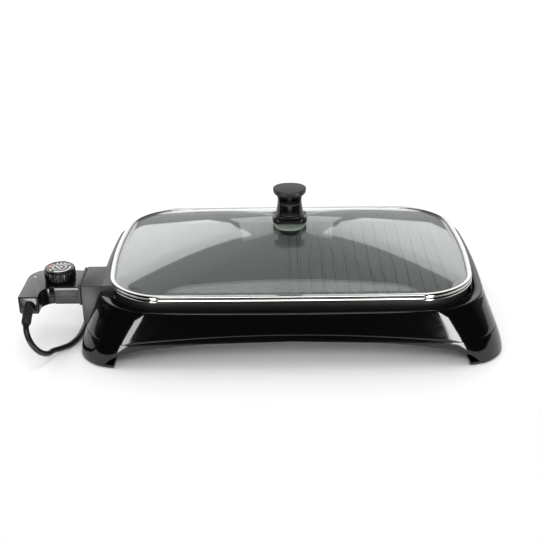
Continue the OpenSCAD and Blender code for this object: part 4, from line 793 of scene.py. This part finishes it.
def grip_ring(w, y0, y1, z, pocket):
    """Section of the grip, with or without the pocket in its front."""
    def power(v, p):
        return math.copysign(abs(v) ** p, v)
    middle, half = (y0 + y1) / 2, (y1 - y0) / 2
    tip = math.degrees(math.acos((12.5 / w) ** (1 / 0.7)))
    around = [math.radians(-tip + (180 + 2 * tip) * k / 60) for k in range(61)]
    ring = [(power(math.cos(t), 0.7) * w, middle + power(math.sin(t), 0.7) * half, z) for t in around]
    for k in range(1, 24):
        u = 1 - 2 * k / 24
        if pocket:
            if abs(u) > 0.75:
                x, y = -12.5 * math.copysign(1, u), ring[0][1] + (-6 - ring[0][1]) * (1 - abs(u)) / 0.25
            else:
                t = math.radians(90 - 90 * abs(u) / 0.75)
                x, y = -12.5 * math.cos(t) * math.copysign(1, u), -6 + 10 * math.sin(t)
        else:
            x = -12.5 * u
            t = math.acos(min(1, abs(x) / w) ** (1 / 0.7))
            y = middle - math.sin(t) ** 0.7 * half
        ring.append((x, y, z))
    return ring


SECTIONS = [(0, 18.5, -14.5, 14.5), (5, 17.2, -14, 14), (15, 15.7, -13.5, 12.8), (22, 15, -13, 12),
            (27, 16, -13.5, 12), (32, 17, -14, 11.5)]


def grip_at(h, pocket, grow=0):
    """Section of the grip at a height above its foot."""
    w, y0, y1 = (through(h, [(s[0], s[k]) for s in SECTIONS]) for k in (1, 2, 3))
    return grip_ring(w + grow, y0 - grow, y1 + grow, GRIP_Z + h, pocket)


mesh = bmesh.new()
skin(mesh, [grip_at(0, False, -0.3), grip_at(0.3, False), grip_at(1.2, False)]
     + [grip_at(1.2 + 1.42 * k, True) for k in range(20)] + [grip_at(28.6, False), grip_at(31, False)])


def cap_ring(grow, z):
    """Outline of the cap: round at the back, narrower and square at the front, tilted back up."""
    ring = []
    for k in range(80):
        c, s = math.cos(math.radians(90 - 4.5 * k)), math.sin(math.radians(90 - 4.5 * k))
        width = (21 + grow) * (1 + 0.26 * s if s < 0 else 1)
        x = math.copysign(abs(c) ** (0.5 if s < 0 else 0.9), c) * width
        y = -2 - (16 + grow) * (-s) ** 0.6 if s < 0 else -2 + (14 + grow) * s
        ring.append((x, y, z + 0.12 * y))
    return ring


skin(mesh, [cap_ring(g, CAP_Z + z) for g, z in (
    (-5.5, -10), (-4.4, -9.2), (-2.8, -7.9), (-1.3, -6.4), (-0.4, -5.2), (0, -4), (0, -1.2),
    (-0.3, -0.5), (-1, -0.1), (-2, 0))])
for height, half_w, front in ((153.5, 12.9, 16.6), (139.5, 13.4, 17)):
    edge = [math.radians(6 * k) for k in range(60)]
    skin(mesh, [[((half_w - g) * math.cos(t), -5.5 + (front - 5.5 - g) * math.sin(t), height - d)
        for t in edge] for d, g in ((2.2, 0.7), (1.9, 0.25), (1.5, 0), (0.7, 0), (0.3, 0.25), (0, 0.7))])
turned(mesh, KNOB, [(4.5, GRIP_Z + 0.6), (4.5, GRIP_Z + 29)], 32)
knob_grip = smooth_mesh("knob_handle", mesh, 42)
show(knob_grip, "lid", "satin_grip", satin_phenolic, "knob_grip")


# ---------- heat control: shells ----------
# Two glossy phenolic half shells in an L shape close round the switch. The upper one has a
# rounded roof edge; the lower one curves in at its foot and takes the screws from below.
CONTROL_X0, CONTROL_X1, CONTROL_Z, CONTROL_TOP, SEAM_Z = -329.3, -260.3, 53, 76, 63.5
ARM_FRONT, ARM_BACK, LEG_X, LEG_Y = -85.5, -36.5, -304.8, -113
COVER_X1, COVER_T, ELBOW_R, BACK_R, END_R = -291.5, 2, 15.5, 25, 2.5
COVER_SCREWS = [(-310.8, -97), (-322.3, -70.5), (-302.8, -40)]
DIAL_X, DIAL_Y, LENS_X, LENS_Y, RELIEF_X, RELIEF_Z = -287.2, -60, -320.2, -55.3, -316.3, 65.2
TO_BACK = Matrix.Rotation(math.radians(-90), 4, "X")
SHELL_SHARP = 34


def control_plan(grow, x1):
    """Plan of the control, clockwise from the front of the arm's end at x1."""
    past = x1 > LEG_X + ELBOW_R
    r = ELBOW_R - grow
    t0 = math.radians(90) if past else math.acos((x1 - LEG_X - ELBOW_R) / r)
    plan = [(x1, ARM_FRONT - grow)] if past else []
    plan += [(LEG_X + ELBOW_R + r * math.cos(t), ARM_FRONT - ELBOW_R + r * math.sin(t))
             for t in (t0 + (math.pi - t0) * k / 24 for k in range(25))]
    for cx, cy, radius, start, stop, steps in (
            (LEG_X - END_R, LEG_Y + END_R, END_R, 0, -90, 8),
            (CONTROL_X0 + END_R, LEG_Y + END_R, END_R, -90, -180, 8),
            (CONTROL_X0 + BACK_R, ARM_BACK + 4.5 - BACK_R, BACK_R, 180, 90, 30)):
        for k in range(steps + 1):
            t = math.radians(start + (stop - start) * k / steps)
            plan.append((cx + (radius + grow) * math.cos(t), cy + (radius + grow) * math.sin(t)))
    plan.append((x1, ARM_BACK + 4.5 * (CONTROL_X1 - x1) / (CONTROL_X1 - CONTROL_X0 - BACK_R) + grow))
    return plan


def shell_rings(x1, levels):
    """Rings of a shell that ends at x1: each level is (height, growth, draw of its end)."""
    return [[(x, y, z) for x, y in control_plan(grow, x1 - ease)] for z, grow, ease in levels]


mesh = bmesh.new()
skin(mesh, shell_rings(CONTROL_X1, [
    (SEAM_Z + 0.2, -0.25, 0), (SEAM_Z + 0.45, 0, 0), (CONTROL_TOP - 1.3, 0, 0),
    (CONTROL_TOP - 0.75, -0.15, 0.1), (CONTROL_TOP - 0.35, -0.4, 0.25),
    (CONTROL_TOP - 0.1, -0.75, 0.5), (CONTROL_TOP, -1.3, 0.9)]))
top_shell = smooth_mesh("top_shell", mesh, SHELL_SHARP)
mesh = bmesh.new()
skin(mesh, [[(x, y, z) for x, y in control_plan(-COVER_T, CONTROL_X1 + 1)]
    for z in (SEAM_Z - 1, CONTROL_TOP - COVER_T)])
room = smooth_mesh("room", mesh)
mesh = bmesh.new()
skin(mesh, [[(x, y, z) for x, y in ((COVER_X1, -91), (-250, -91), (-250, -20), (COVER_X1, -20))]
    for z in (60, 71.5)])
arm_room = smooth_mesh("arm_room", mesh)
mesh = bmesh.new()
turned(mesh, Matrix.Translation((DIAL_X, DIAL_Y, 0)), [(3.05, 70), (3.05, 80)], 32)
turned(mesh, Matrix.Translation((LENS_X, LENS_Y, 0)), [(2.55, 70), (2.55, CONTROL_TOP - 0.25),
    (2.9, CONTROL_TOP + 0.1)], 32)
relief_bore = Matrix.Translation((RELIEF_X, LEG_Y - 1, RELIEF_Z)) @ TO_BACK
turned(mesh, relief_bore, [(5.1, 0), (5.1, 4)], 32)
holes = smooth_mesh("holes", mesh)
carved(top_shell, SHELL_SHARP, (room, "DIFFERENCE"), (arm_room, "DIFFERENCE"), (holes, "DIFFERENCE"))
show(top_shell, "controller", "black_gloss_moulding", phenolic_black, "control_top_cover")

mesh = bmesh.new()
skin(mesh, shell_rings(COVER_X1, [
    (CONTROL_Z, -2.2, 0), (CONTROL_Z + 0.15, -1.75, 0), (CONTROL_Z + 0.6, -1.25, 0),
    (CONTROL_Z + 1.2, -0.8, 0), (CONTROL_Z + 2, -0.42, 0), (CONTROL_Z + 3, -0.12, 0),
    (CONTROL_Z + 4, 0, 0), (SEAM_Z - 0.25, 0, 0), (SEAM_Z, -0.25, 0)]))
bottom_shell = smooth_mesh("bottom_shell", mesh, SHELL_SHARP)
mesh = bmesh.new()
skin(mesh, [[(x, y, z) for x, y in control_plan(-COVER_T, CONTROL_X1 + 1)]
    for z in (CONTROL_Z + COVER_T, SEAM_Z + 1)])
room = smooth_mesh("room", mesh)
mesh = bmesh.new()
turned(mesh, relief_bore, [(5.1, 0), (5.1, 4)], 32)
for x, y in COVER_SCREWS:
    turned(mesh, Matrix.Translation((x, y, 0)), [(2.9, 52), (2.9, 55.2), (1.4, 55.21), (1.4, 60)], 24)
holes = smooth_mesh("holes", mesh)
carved(bottom_shell, SHELL_SHARP, (room, "DIFFERENCE"), (holes, "DIFFERENCE"))
show(bottom_shell, "controller", "black_gloss_moulding", phenolic_black, "control_bottom_cover")

# ---------- heat control: arm and plug-in end ----------
# The hot end of the arm is a block of glass-filled nylon, split along the middle of its height.
# A collar stops it against the guard, and a nose behind the collar holds the two contacts.
ARM_X0 = -291.3
SOCKET_HOLES = [(-77, 3.95), (-45, 3.95), (PROBE_Y, 3.05)]
mesh = bmesh.new()
skin(mesh, [[((ARM_X0 + CONTROL_X1) / 2 + x, -61.6 + y, z) for x, y in rounded(
    31 - 2 * g, 48.2 - 2 * g, 1.3 - g, 4)] for z, g in (
    (CONTROL_Z, 0.7), (CONTROL_Z + 0.2, 0.25), (CONTROL_Z + 0.7, 0), (SEAM_Z - 0.45, 0),
    (SEAM_Z - 0.15, 0.3), (SEAM_Z + 0.15, 0.3), (SEAM_Z + 0.45, 0), (71, 0), (71.3, 0.25))])
arm_block = smooth_mesh("arm_block", mesh)
mesh = bmesh.new()
skin(mesh, [[(x, y, z) for x, y in ((-293, -83.2), (-262.8, -83.2), (-262.8, -40), (-293, -40))]
    for z in (55, 80)])
room = smooth_mesh("room", mesh)
mesh = bmesh.new()
for y, r in SOCKET_HOLES:
    turned(mesh, Matrix.Translation((-264, y, PROBE_Z)) @ ALONG_X, [(r, 0), (r, 5)], 32)
holes = smooth_mesh("holes", mesh)
carved(arm_block, SHELL_SHARP, (room, "DIFFERENCE"), (holes, "DIFFERENCE"))
show(arm_block, "controller", "grey_matt_moulding", filled_nylon, "terminal_housing")

mesh = bmesh.new()
skin(mesh, [[(x, -62.5 + v, 66.5 + u) for u, v in rounded(28 - 2 * g, 57 - 2 * g, 4 - g, 8)] for x, g in (
    (-260.2, 0.5), (-259.8, 0.1), (-259.3, 0), (-258.3, 0), (-257.8, 0.15), (-257.5, 0.5))])
skin(mesh, [[(x, PROBE_Y + v, PROBE_Z + u) for u, v in rounded(16.8 - 2 * g, 42.8 - 2 * g, 5 - g, 8)]
    for x, g in ((-258, 0), (-239, 0), (-238.3, 0.3), (-238, 1))])
collar = smooth_mesh("collar", mesh)
mesh = bmesh.new()
for y, r in SOCKET_HOLES:
    turned(mesh, Matrix.Translation((-262, y, PROBE_Z)) @ ALONG_X, [(r, 0), (r, 26)], 32)
holes = smooth_mesh("holes", mesh)
carved(collar, SHELL_SHARP, (holes, "DIFFERENCE"))
show(collar, "controller", "grey_matt_moulding", filled_nylon, "mating_flange")

# Stainless sensing tube, drawn and polished: smooth, a little worn by the plug-in end
drawn_steel, tree = new_material("drawn_stainless_tube")
place = add(tree, "ShaderNodeTexCoord")
stretch = add(tree, "ShaderNodeMapping", {"Vector": place.outputs["Object"], "Scale": (0.03, 1, 1)})
wear = add(tree, "ShaderNodeTexNoise", {
    "Vector": stretch.outputs["Vector"], "Scale": 1000 / 0.7, "Detail": 3})
rough = add(tree, "ShaderNodeMapRange", {"Value": wear.outputs["Fac"], "To Min": 0.12, "To Max": 0.3})
tube = add(tree, "ShaderNodeBsdfPrincipled", {
    "Base Color": linear("#cfcfcb"), "Metallic": 1, "Roughness": rough.outputs["Result"]})
add(tree, "ShaderNodeOutputMaterial", {"Surface": tube.outputs["BSDF"]})
dress(drawn_steel, "probe_rod")
dress(brass, "contact_sleeves")

# Phenolic paper laminate: IOR 1.6, brown, waxy, faintly mottled
laminate, tree = new_material("brown_phenolic")
place = add(tree, "ShaderNodeTexCoord")
mottle = add(tree, "ShaderNodeTexNoise", {
    "Vector": place.outputs["Object"], "Scale": 1000 / 3, "Detail": 4})
tone = add(tree, "ShaderNodeMix", {
    "Factor": mottle.outputs["Fac"], "A": linear("#4a2c18"), "B": linear("#6b4426")}, data_type="RGBA")
board = add(tree, "ShaderNodeBsdfPrincipled", {
    "Base Color": tone.outputs["Result"], "Roughness": 0.4, "IOR": 1.6})
add(tree, "ShaderNodeOutputMaterial", {"Surface": board.outputs["BSDF"]})
dress(laminate, "thermostat_switch")

# Silicone insulation on the inner leads: IOR 1.41, red-brown, smooth
lead_silicone, tree = new_material("silicone_insulation_red")
place = add(tree, "ShaderNodeTexCoord")
dust = add(tree, "ShaderNodeTexNoise", {
    "Vector": place.outputs["Object"], "Scale": 1000 / 1.5, "Detail": 2})
rough = add(tree, "ShaderNodeMapRange", {"Value": dust.outputs["Fac"], "To Min": 0.35, "To Max": 0.55})
cover = add(tree, "ShaderNodeBsdfPrincipled", {
    "Base Color": linear("#7c2a1e"), "Roughness": rough.outputs["Result"], "IOR": 1.41})
add(tree, "ShaderNodeOutputMaterial", {"Surface": cover.outputs["BSDF"]})
dress(lead_silicone, "inner_wires")

# ---------- heat control: indicator ----------
# A clear polycarbonate lens, pressed into the roof, over a neon lamp.

# Polycarbonate: IOR 1.58, clear, with a domed polished top
lens_clear, tree = new_material("clear_polycarbonate")
place = add(tree, "ShaderNodeTexCoord")
haze = add(tree, "ShaderNodeTexNoise", {
    "Vector": place.outputs["Object"], "Scale": 1000 / 2, "Detail": 2})
rough = add(tree, "ShaderNodeMapRange", {"Value": haze.outputs["Fac"], "To Min": 0.02, "To Max": 0.08})
lens = add(tree, "ShaderNodeBsdfPrincipled", {
    "Base Color": linear("#e6e6e2"), "Roughness": rough.outputs["Result"], "IOR": 1.58,
    "Transmission Weight": 0.55})
add(tree, "ShaderNodeOutputMaterial", {"Surface": lens.outputs["BSDF"]})
mesh = bmesh.new()
turned(mesh, Matrix.Translation((LENS_X, LENS_Y, 0)), [
    (2.1, 73), (2.5, 73.4), (2.5, 75.9), (2.4, 76.2), (2.1, 76.4), (1.5, 76.52), (0.8, 76.58),
    (0.1, 76.6)], 40)
light_lens = smooth_mesh("light_lens", mesh, 60)
show(light_lens, "controller", "lens_clear", lens_clear, "indicator_lens")

# Neon lamp: thin glass with the orange of its unlit gas and electrodes
neon_glass, tree = new_material("neon_lamp_glass")
place = add(tree, "ShaderNodeTexCoord")
glow = add(tree, "ShaderNodeTexNoise", {
    "Vector": place.outputs["Object"], "Scale": 1000 / 4, "Detail": 1})
tone = add(tree, "ShaderNodeMix", {
    "Factor": glow.outputs["Fac"], "A": linear("#c98a66"), "B": linear("#e6b796")}, data_type="RGBA")
bulb = add(tree, "ShaderNodeBsdfPrincipled", {
    "Base Color": tone.outputs["Result"], "Roughness": 0.08, "IOR": 1.5, "Transmission Weight": 0.4})
add(tree, "ShaderNodeOutputMaterial", {"Surface": bulb.outputs["BSDF"]})
dress(neon_glass, "indicator_lamp")

# ---------- strain relief ----------
# A ribbed sleeve of soft PVC, moulded round the cord and trapped between the half shells. It
# leaves the leg pointing 30 degrees down, has four ribs, and ends in a thicker collar.
mesh = bmesh.new()
into_leg = Matrix.Translation((RELIEF_X, LEG_Y, RELIEF_Z)) @ TO_BACK
turned(mesh, into_leg, [(4.7, -0.2), (4.7, 2.2), (6.5, 2.2), (6.5, 4.6), (4.7, 4.6), (4.7, 9.2)], 40)
down_slope = Matrix.Rotation(math.radians(120), 4, "X")
out_of_leg = Matrix.Translation((RELIEF_X, LEG_Y - 0.2, RELIEF_Z)) @ down_slope
ribbed = [(3.9, -1.5), (4.1, 2.8)]
for t in (4.6, 8.8, 13, 17.2):
    top = 6.5 - t / 25
    ribbed += [(4.8, t - 1.5), (5, t - 1.35), (top - 0.25, t - 1.15), (top, t - 0.85),
               (top, t + 0.85), (top - 0.25, t + 1.15), (5, t + 1.35), (4.8, t + 1.5)]
ribbed += [(4.75, 19.6), (5.2, 20), (5.8, 20.6), (5.8, 24), (5.5, 24.7), (4.7, 26.7), (4.4, 27),
    (3.6, 27)]
turned(mesh, out_of_leg, ribbed, 48)
relief_sleeve = smooth_mesh("relief_sleeve", mesh, 28)
show(relief_sleeve, "controller", "rubber_black", plug_pvc, "cord_relief")

# ---------- dial ----------
# A glossy phenolic knob with a ribbed side and a sunk top. Its printed disc carries the heat
# scale from 1 to 5, a tapering arc, a pointer and a red lamp mark, all pad-printed on black.
DIAL_Z, DIAL_TOP = 76.3, 91.5
DIAL_H = DIAL_TOP - DIAL_Z
RIBS = 36

mesh = bmesh.new()
rows = []
for z, body, tooth in (
        (0, 18, 18), (0.5, 18.5, 18.5), (1.5, 18.75, 18.75), (1.9, 18.75, 19.15),
        (2.5, 18.75, 19.28), (DIAL_H - 2.6, 18.75, 19.28), (DIAL_H - 2, 18.75, 19.1),
        (DIAL_H - 1.4, 18.7, 18.72), (DIAL_H - 0.6, 18.5, 18.5), (DIAL_H - 0.15, 18.15, 18.15),
        (DIAL_H, 17.8, 17.8), (DIAL_H - 0.1, 17.55, 17.55), (DIAL_H - 0.62, 17.52, 17.52),
        (DIAL_H - 0.62, 3.4, 3.4), (DIAL_H - 2.5, 3.05, 3.05), (0.5, 3.05, 3.05),
        (0.5, 5.5, 5.5), (DIAL_H - 2.5, 5.5, 5.5), (DIAL_H - 2.5, 16.3, 16.3),
        (0.4, 16.5, 16.5), (0, 16.8, 16.8)):
    ring = []
    for k in range(RIBS * 10):
        part = k % 10
        raised = (0, 0.1, 0.75, 1, 1, 1, 0.75, 0.1, 0, 0)[part]
        r = body + (tooth - body) * raised
        t = math.tau * (k - 4) / (RIBS * 10)
        ring.append((DIAL_X + r * math.cos(t), DIAL_Y + r * math.sin(t), DIAL_Z + z))
    rows.append(ring)
skin(mesh, rows, closed=True)
dial_body = smooth_mesh("dial_body", mesh, 38)
show(dial_body, "dial", "black_gloss_moulding", phenolic_black, "dial_knob")


# The printed disc is a black polycarbonate film; its inks are opaque white and orange-red
FACE_TOP = DIAL_TOP - 0.04


def ink(name, colour):
    """Material of a pad-printed ink: opaque, satin, a little thin in places."""
    material, tree = new_material(name)
    place = add(tree, "ShaderNodeTexCoord")
    film = add(tree, "ShaderNodeTexNoise", {
        "Vector": place.outputs["Object"], "Scale": 1000 / 0.8, "Detail": 2})
    rough = add(tree, "ShaderNodeMapRange", {"Value": film.outputs["Fac"], "To Min": 0.3, "To Max": 0.5})
    print_coat = add(tree, "ShaderNodeBsdfPrincipled", {
        "Base Color": linear(colour), "Roughness": rough.outputs["Result"], "IOR": 1.5})
    add(tree, "ShaderNodeOutputMaterial", {"Surface": print_coat.outputs["BSDF"]})
    return material


def on_face(radius, angle):
    """Place on the dial's face, from its middle; 90 degrees is at the back."""
    return Vector((DIAL_X + radius * math.cos(math.radians(angle)),
                   DIAL_Y + radius * math.sin(math.radians(angle))))


def printed(mesh, points):
    """A patch of ink, 0.03 mm thick, through points on the face."""
    skin(mesh, [[(x, y, z) for x, y in points] for z in (FACE_TOP - 0.05, FACE_TOP + 0.03)])


def printed_arc(mesh, radius, widths, start, stop, steps=40):
    """A curved stripe of ink whose width changes evenly from its start to its end."""
    inner, outer = [], []
    for k in range(steps + 1):
        half = (widths[0] + (widths[1] - widths[0]) * k / steps) / 2
        angle = start + (stop - start) * k / steps
        inner.append(on_face(radius - half, angle))
        outer.append(on_face(radius + half, angle))
    printed(mesh, outer + inner[::-1])


mesh = bmesh.new()
turned(mesh, Matrix.Translation((DIAL_X, DIAL_Y, 0)), [
    (17.3, 90.92), (17.48, 91), (17.48, FACE_TOP - 0.06), (17.3, FACE_TOP)], 96)
dial_disc = smooth_mesh("dial_disc", mesh)
show(dial_disc, "dial", "dial_print", phenolic_black, "dial_face")

white_ink = ink("pad_printed_ink_white", "#e4e4e0")
mesh = bmesh.new()
for start in (0, 180):
    printed_arc(mesh, 8.2, (0.9, 0.9), start + 0.01, start + 180)
printed_arc(mesh, 13.4, (1.2, 2.6), 14, -108)
printed_arc(mesh, 12.4, (1.8, 1.8), -133, -149, 8)
bar, across = Vector((0.62, -0.78)), Vector((0.78, 0.62))
for shift, half_l, half_w in ((-1.6, 5.6, 0.75), (2.4, 2.2, 1.2)):
    middle = Vector((DIAL_X, DIAL_Y)) + across * shift
    printed(mesh, [middle + bar * u + across * v for u, v in (
        (-half_l, -half_w), (half_l, -half_w * 0.6), (half_l, half_w * 0.6), (-half_l, half_w))])
dial_marks = smooth_mesh("dial_marks", mesh)
show(dial_marks, "dial", "dial_print", white_ink)

for number, angle in enumerate((138, 114, 91, 68, 44), 1):
    figure = bpy.data.curves.new("number_%d" % number, "FONT")
    figure.body = str(number)
    figure.size = 5.6 * MM
    figure.extrude = 0.04 * MM
    figure.offset = 0.12 * MM
    figure.align_x = figure.align_y = "CENTER"
    digit = bpy.data.objects.new("number_%d" % number, figure)
    bpy.context.scene.collection.objects.link(digit)
    spot = on_face(12.1, angle)
    digit.matrix_world = Matrix.Translation(Vector((spot.x, spot.y, FACE_TOP)) * MM) @ Matrix.Rotation(
        math.radians(angle - 90), 4, "Z")
    show(digit, "dial", "dial_print", white_ink)

mesh = bmesh.new()
middle = on_face(11.6, 168)
dot = [math.radians(a) for a in range(0, 360, 12)]
printed(mesh, [middle + Vector((2.3 * math.cos(a), 2.3 * math.sin(a))) for a in dot])
off_mark = smooth_mesh("off_mark", mesh)
show(off_mark, "dial", "dial_print", ink("pad_printed_ink_orange", "#ee6a48"))

# ---------- floor, light and background ----------
# A pale table and a plain white studio. Soft boxes behind the grill give the horizontal surfaces
# and the glass their sheen, a large one in front fills, and two low strips at the front give the
# skirt its upright highlights. The world is white where it is seen, and grey at the back in gloss.
mesh = bmesh.new()
skin(mesh, [[(x, y, z) for x, y in rounded(4400, 2600, 12, 4)] for z in (-0.3, 0)])
bmesh.ops.translate(mesh, vec=(0, 1060, -0.3), verts=mesh.verts)
table = smooth_mesh("table", mesh)
table_paint, tree = new_material("matt_white_table")
place = add(tree, "ShaderNodeTexCoord")
cloud = add(tree, "ShaderNodeTexNoise", {"Vector": place.outputs["Object"], "Scale": 2, "Detail": 2})
tone = add(tree, "ShaderNodeMix", {
    "Factor": cloud.outputs["Fac"], "A": linear("#f4f4f4"), "B": linear("#f8f8f8")}, data_type="RGBA")
top = add(tree, "ShaderNodeBsdfPrincipled", {"Base Color": tone.outputs["Result"], "Roughness": 0.5})
add(tree, "ShaderNodeOutputMaterial", {"Surface": top.outputs["BSDF"]})
table.data.materials.append(table_paint)

world = bpy.data.worlds.new("studio")
bpy.context.scene.world = world
world.use_nodes = True
tree = world.node_tree
tree.nodes.clear()
rays = add(tree, "ShaderNodeLightPath")
heading = add(tree, "ShaderNodeTexCoord")
parts = add(tree, "ShaderNodeSeparateXYZ", {0: heading.outputs["Generated"]})
seen = add(tree, "ShaderNodeMath", {
    0: rays.outputs["Is Camera Ray"], 1: rays.outputs["Is Transmission Ray"]}, operation="MAXIMUM")
backdrop = add(tree, "ShaderNodeMapRange", {
    "Value": parts.outputs["Y"], "From Min": 0, "From Max": 0.7, "To Min": 0, "To Max": 0.3})
room_light = add(tree, "ShaderNodeMix", {
    0: rays.outputs["Is Glossy Ray"], 2: 1, 3: backdrop.outputs["Result"]})
level_node = add(tree, "ShaderNodeMix", {0: seen.outputs[0], 2: room_light.outputs[0], 3: 1})
white = add(tree, "ShaderNodeBackground", {"Color": (1, 1, 1, 1), "Strength": level_node.outputs[0]})
add(tree, "ShaderNodeOutputWorld", {"Surface": white.outputs["Background"]})


def soft_box(name, place, aim, size, power, lean=0):
    """A soft box, unseen by the camera, that leans by so many degrees in its own plane."""
    light = bpy.data.lights.new(name, "AREA")
    light.shape = "RECTANGLE"
    light.size, light.size_y = size[0] * MM, size[1] * MM
    light.energy = power
    lamp = bpy.data.objects.new(name, light)
    bpy.context.scene.collection.objects.link(lamp)
    direction = (Vector(aim) - Vector(place)).normalized()
    lamp.matrix_world = Matrix.Translation(Vector(place) * MM) @ (
        direction.to_track_quat("-Z", "Y").to_matrix().to_4x4()
        @ Matrix.Rotation(math.radians(lean), 4, "Z"))
    lamp.visible_camera = False


MIDDLE = (0, 0, 60)
soft_box("back_box_left", (-1180, 2600, 1350), MIDDLE, (1500, 1400), 9.3)
soft_box("back_box_right", (1180, 2600, 1350), MIDDLE, (1500, 1400), 7.8)
soft_box("back_box_centre", (0, 2600, 1350), MIDDLE, (860, 1400), 2.4)
soft_box("top_box", (0, 200, 2600), MIDDLE, (1600, 1000), 8)
soft_box("front_box", (0, -2300, 1900), MIDDLE, (1400, 700), 21)
soft_box("strip_left", (-452, -794, -112), (-186, -150, 45), (150, 240), 1.1, 8)
soft_box("strip_right", (452, -794, -112), (186, -150, 45), (165, 240), 1.9, -8)

bpy.context.scene.view_settings.view_transform = "Standard"
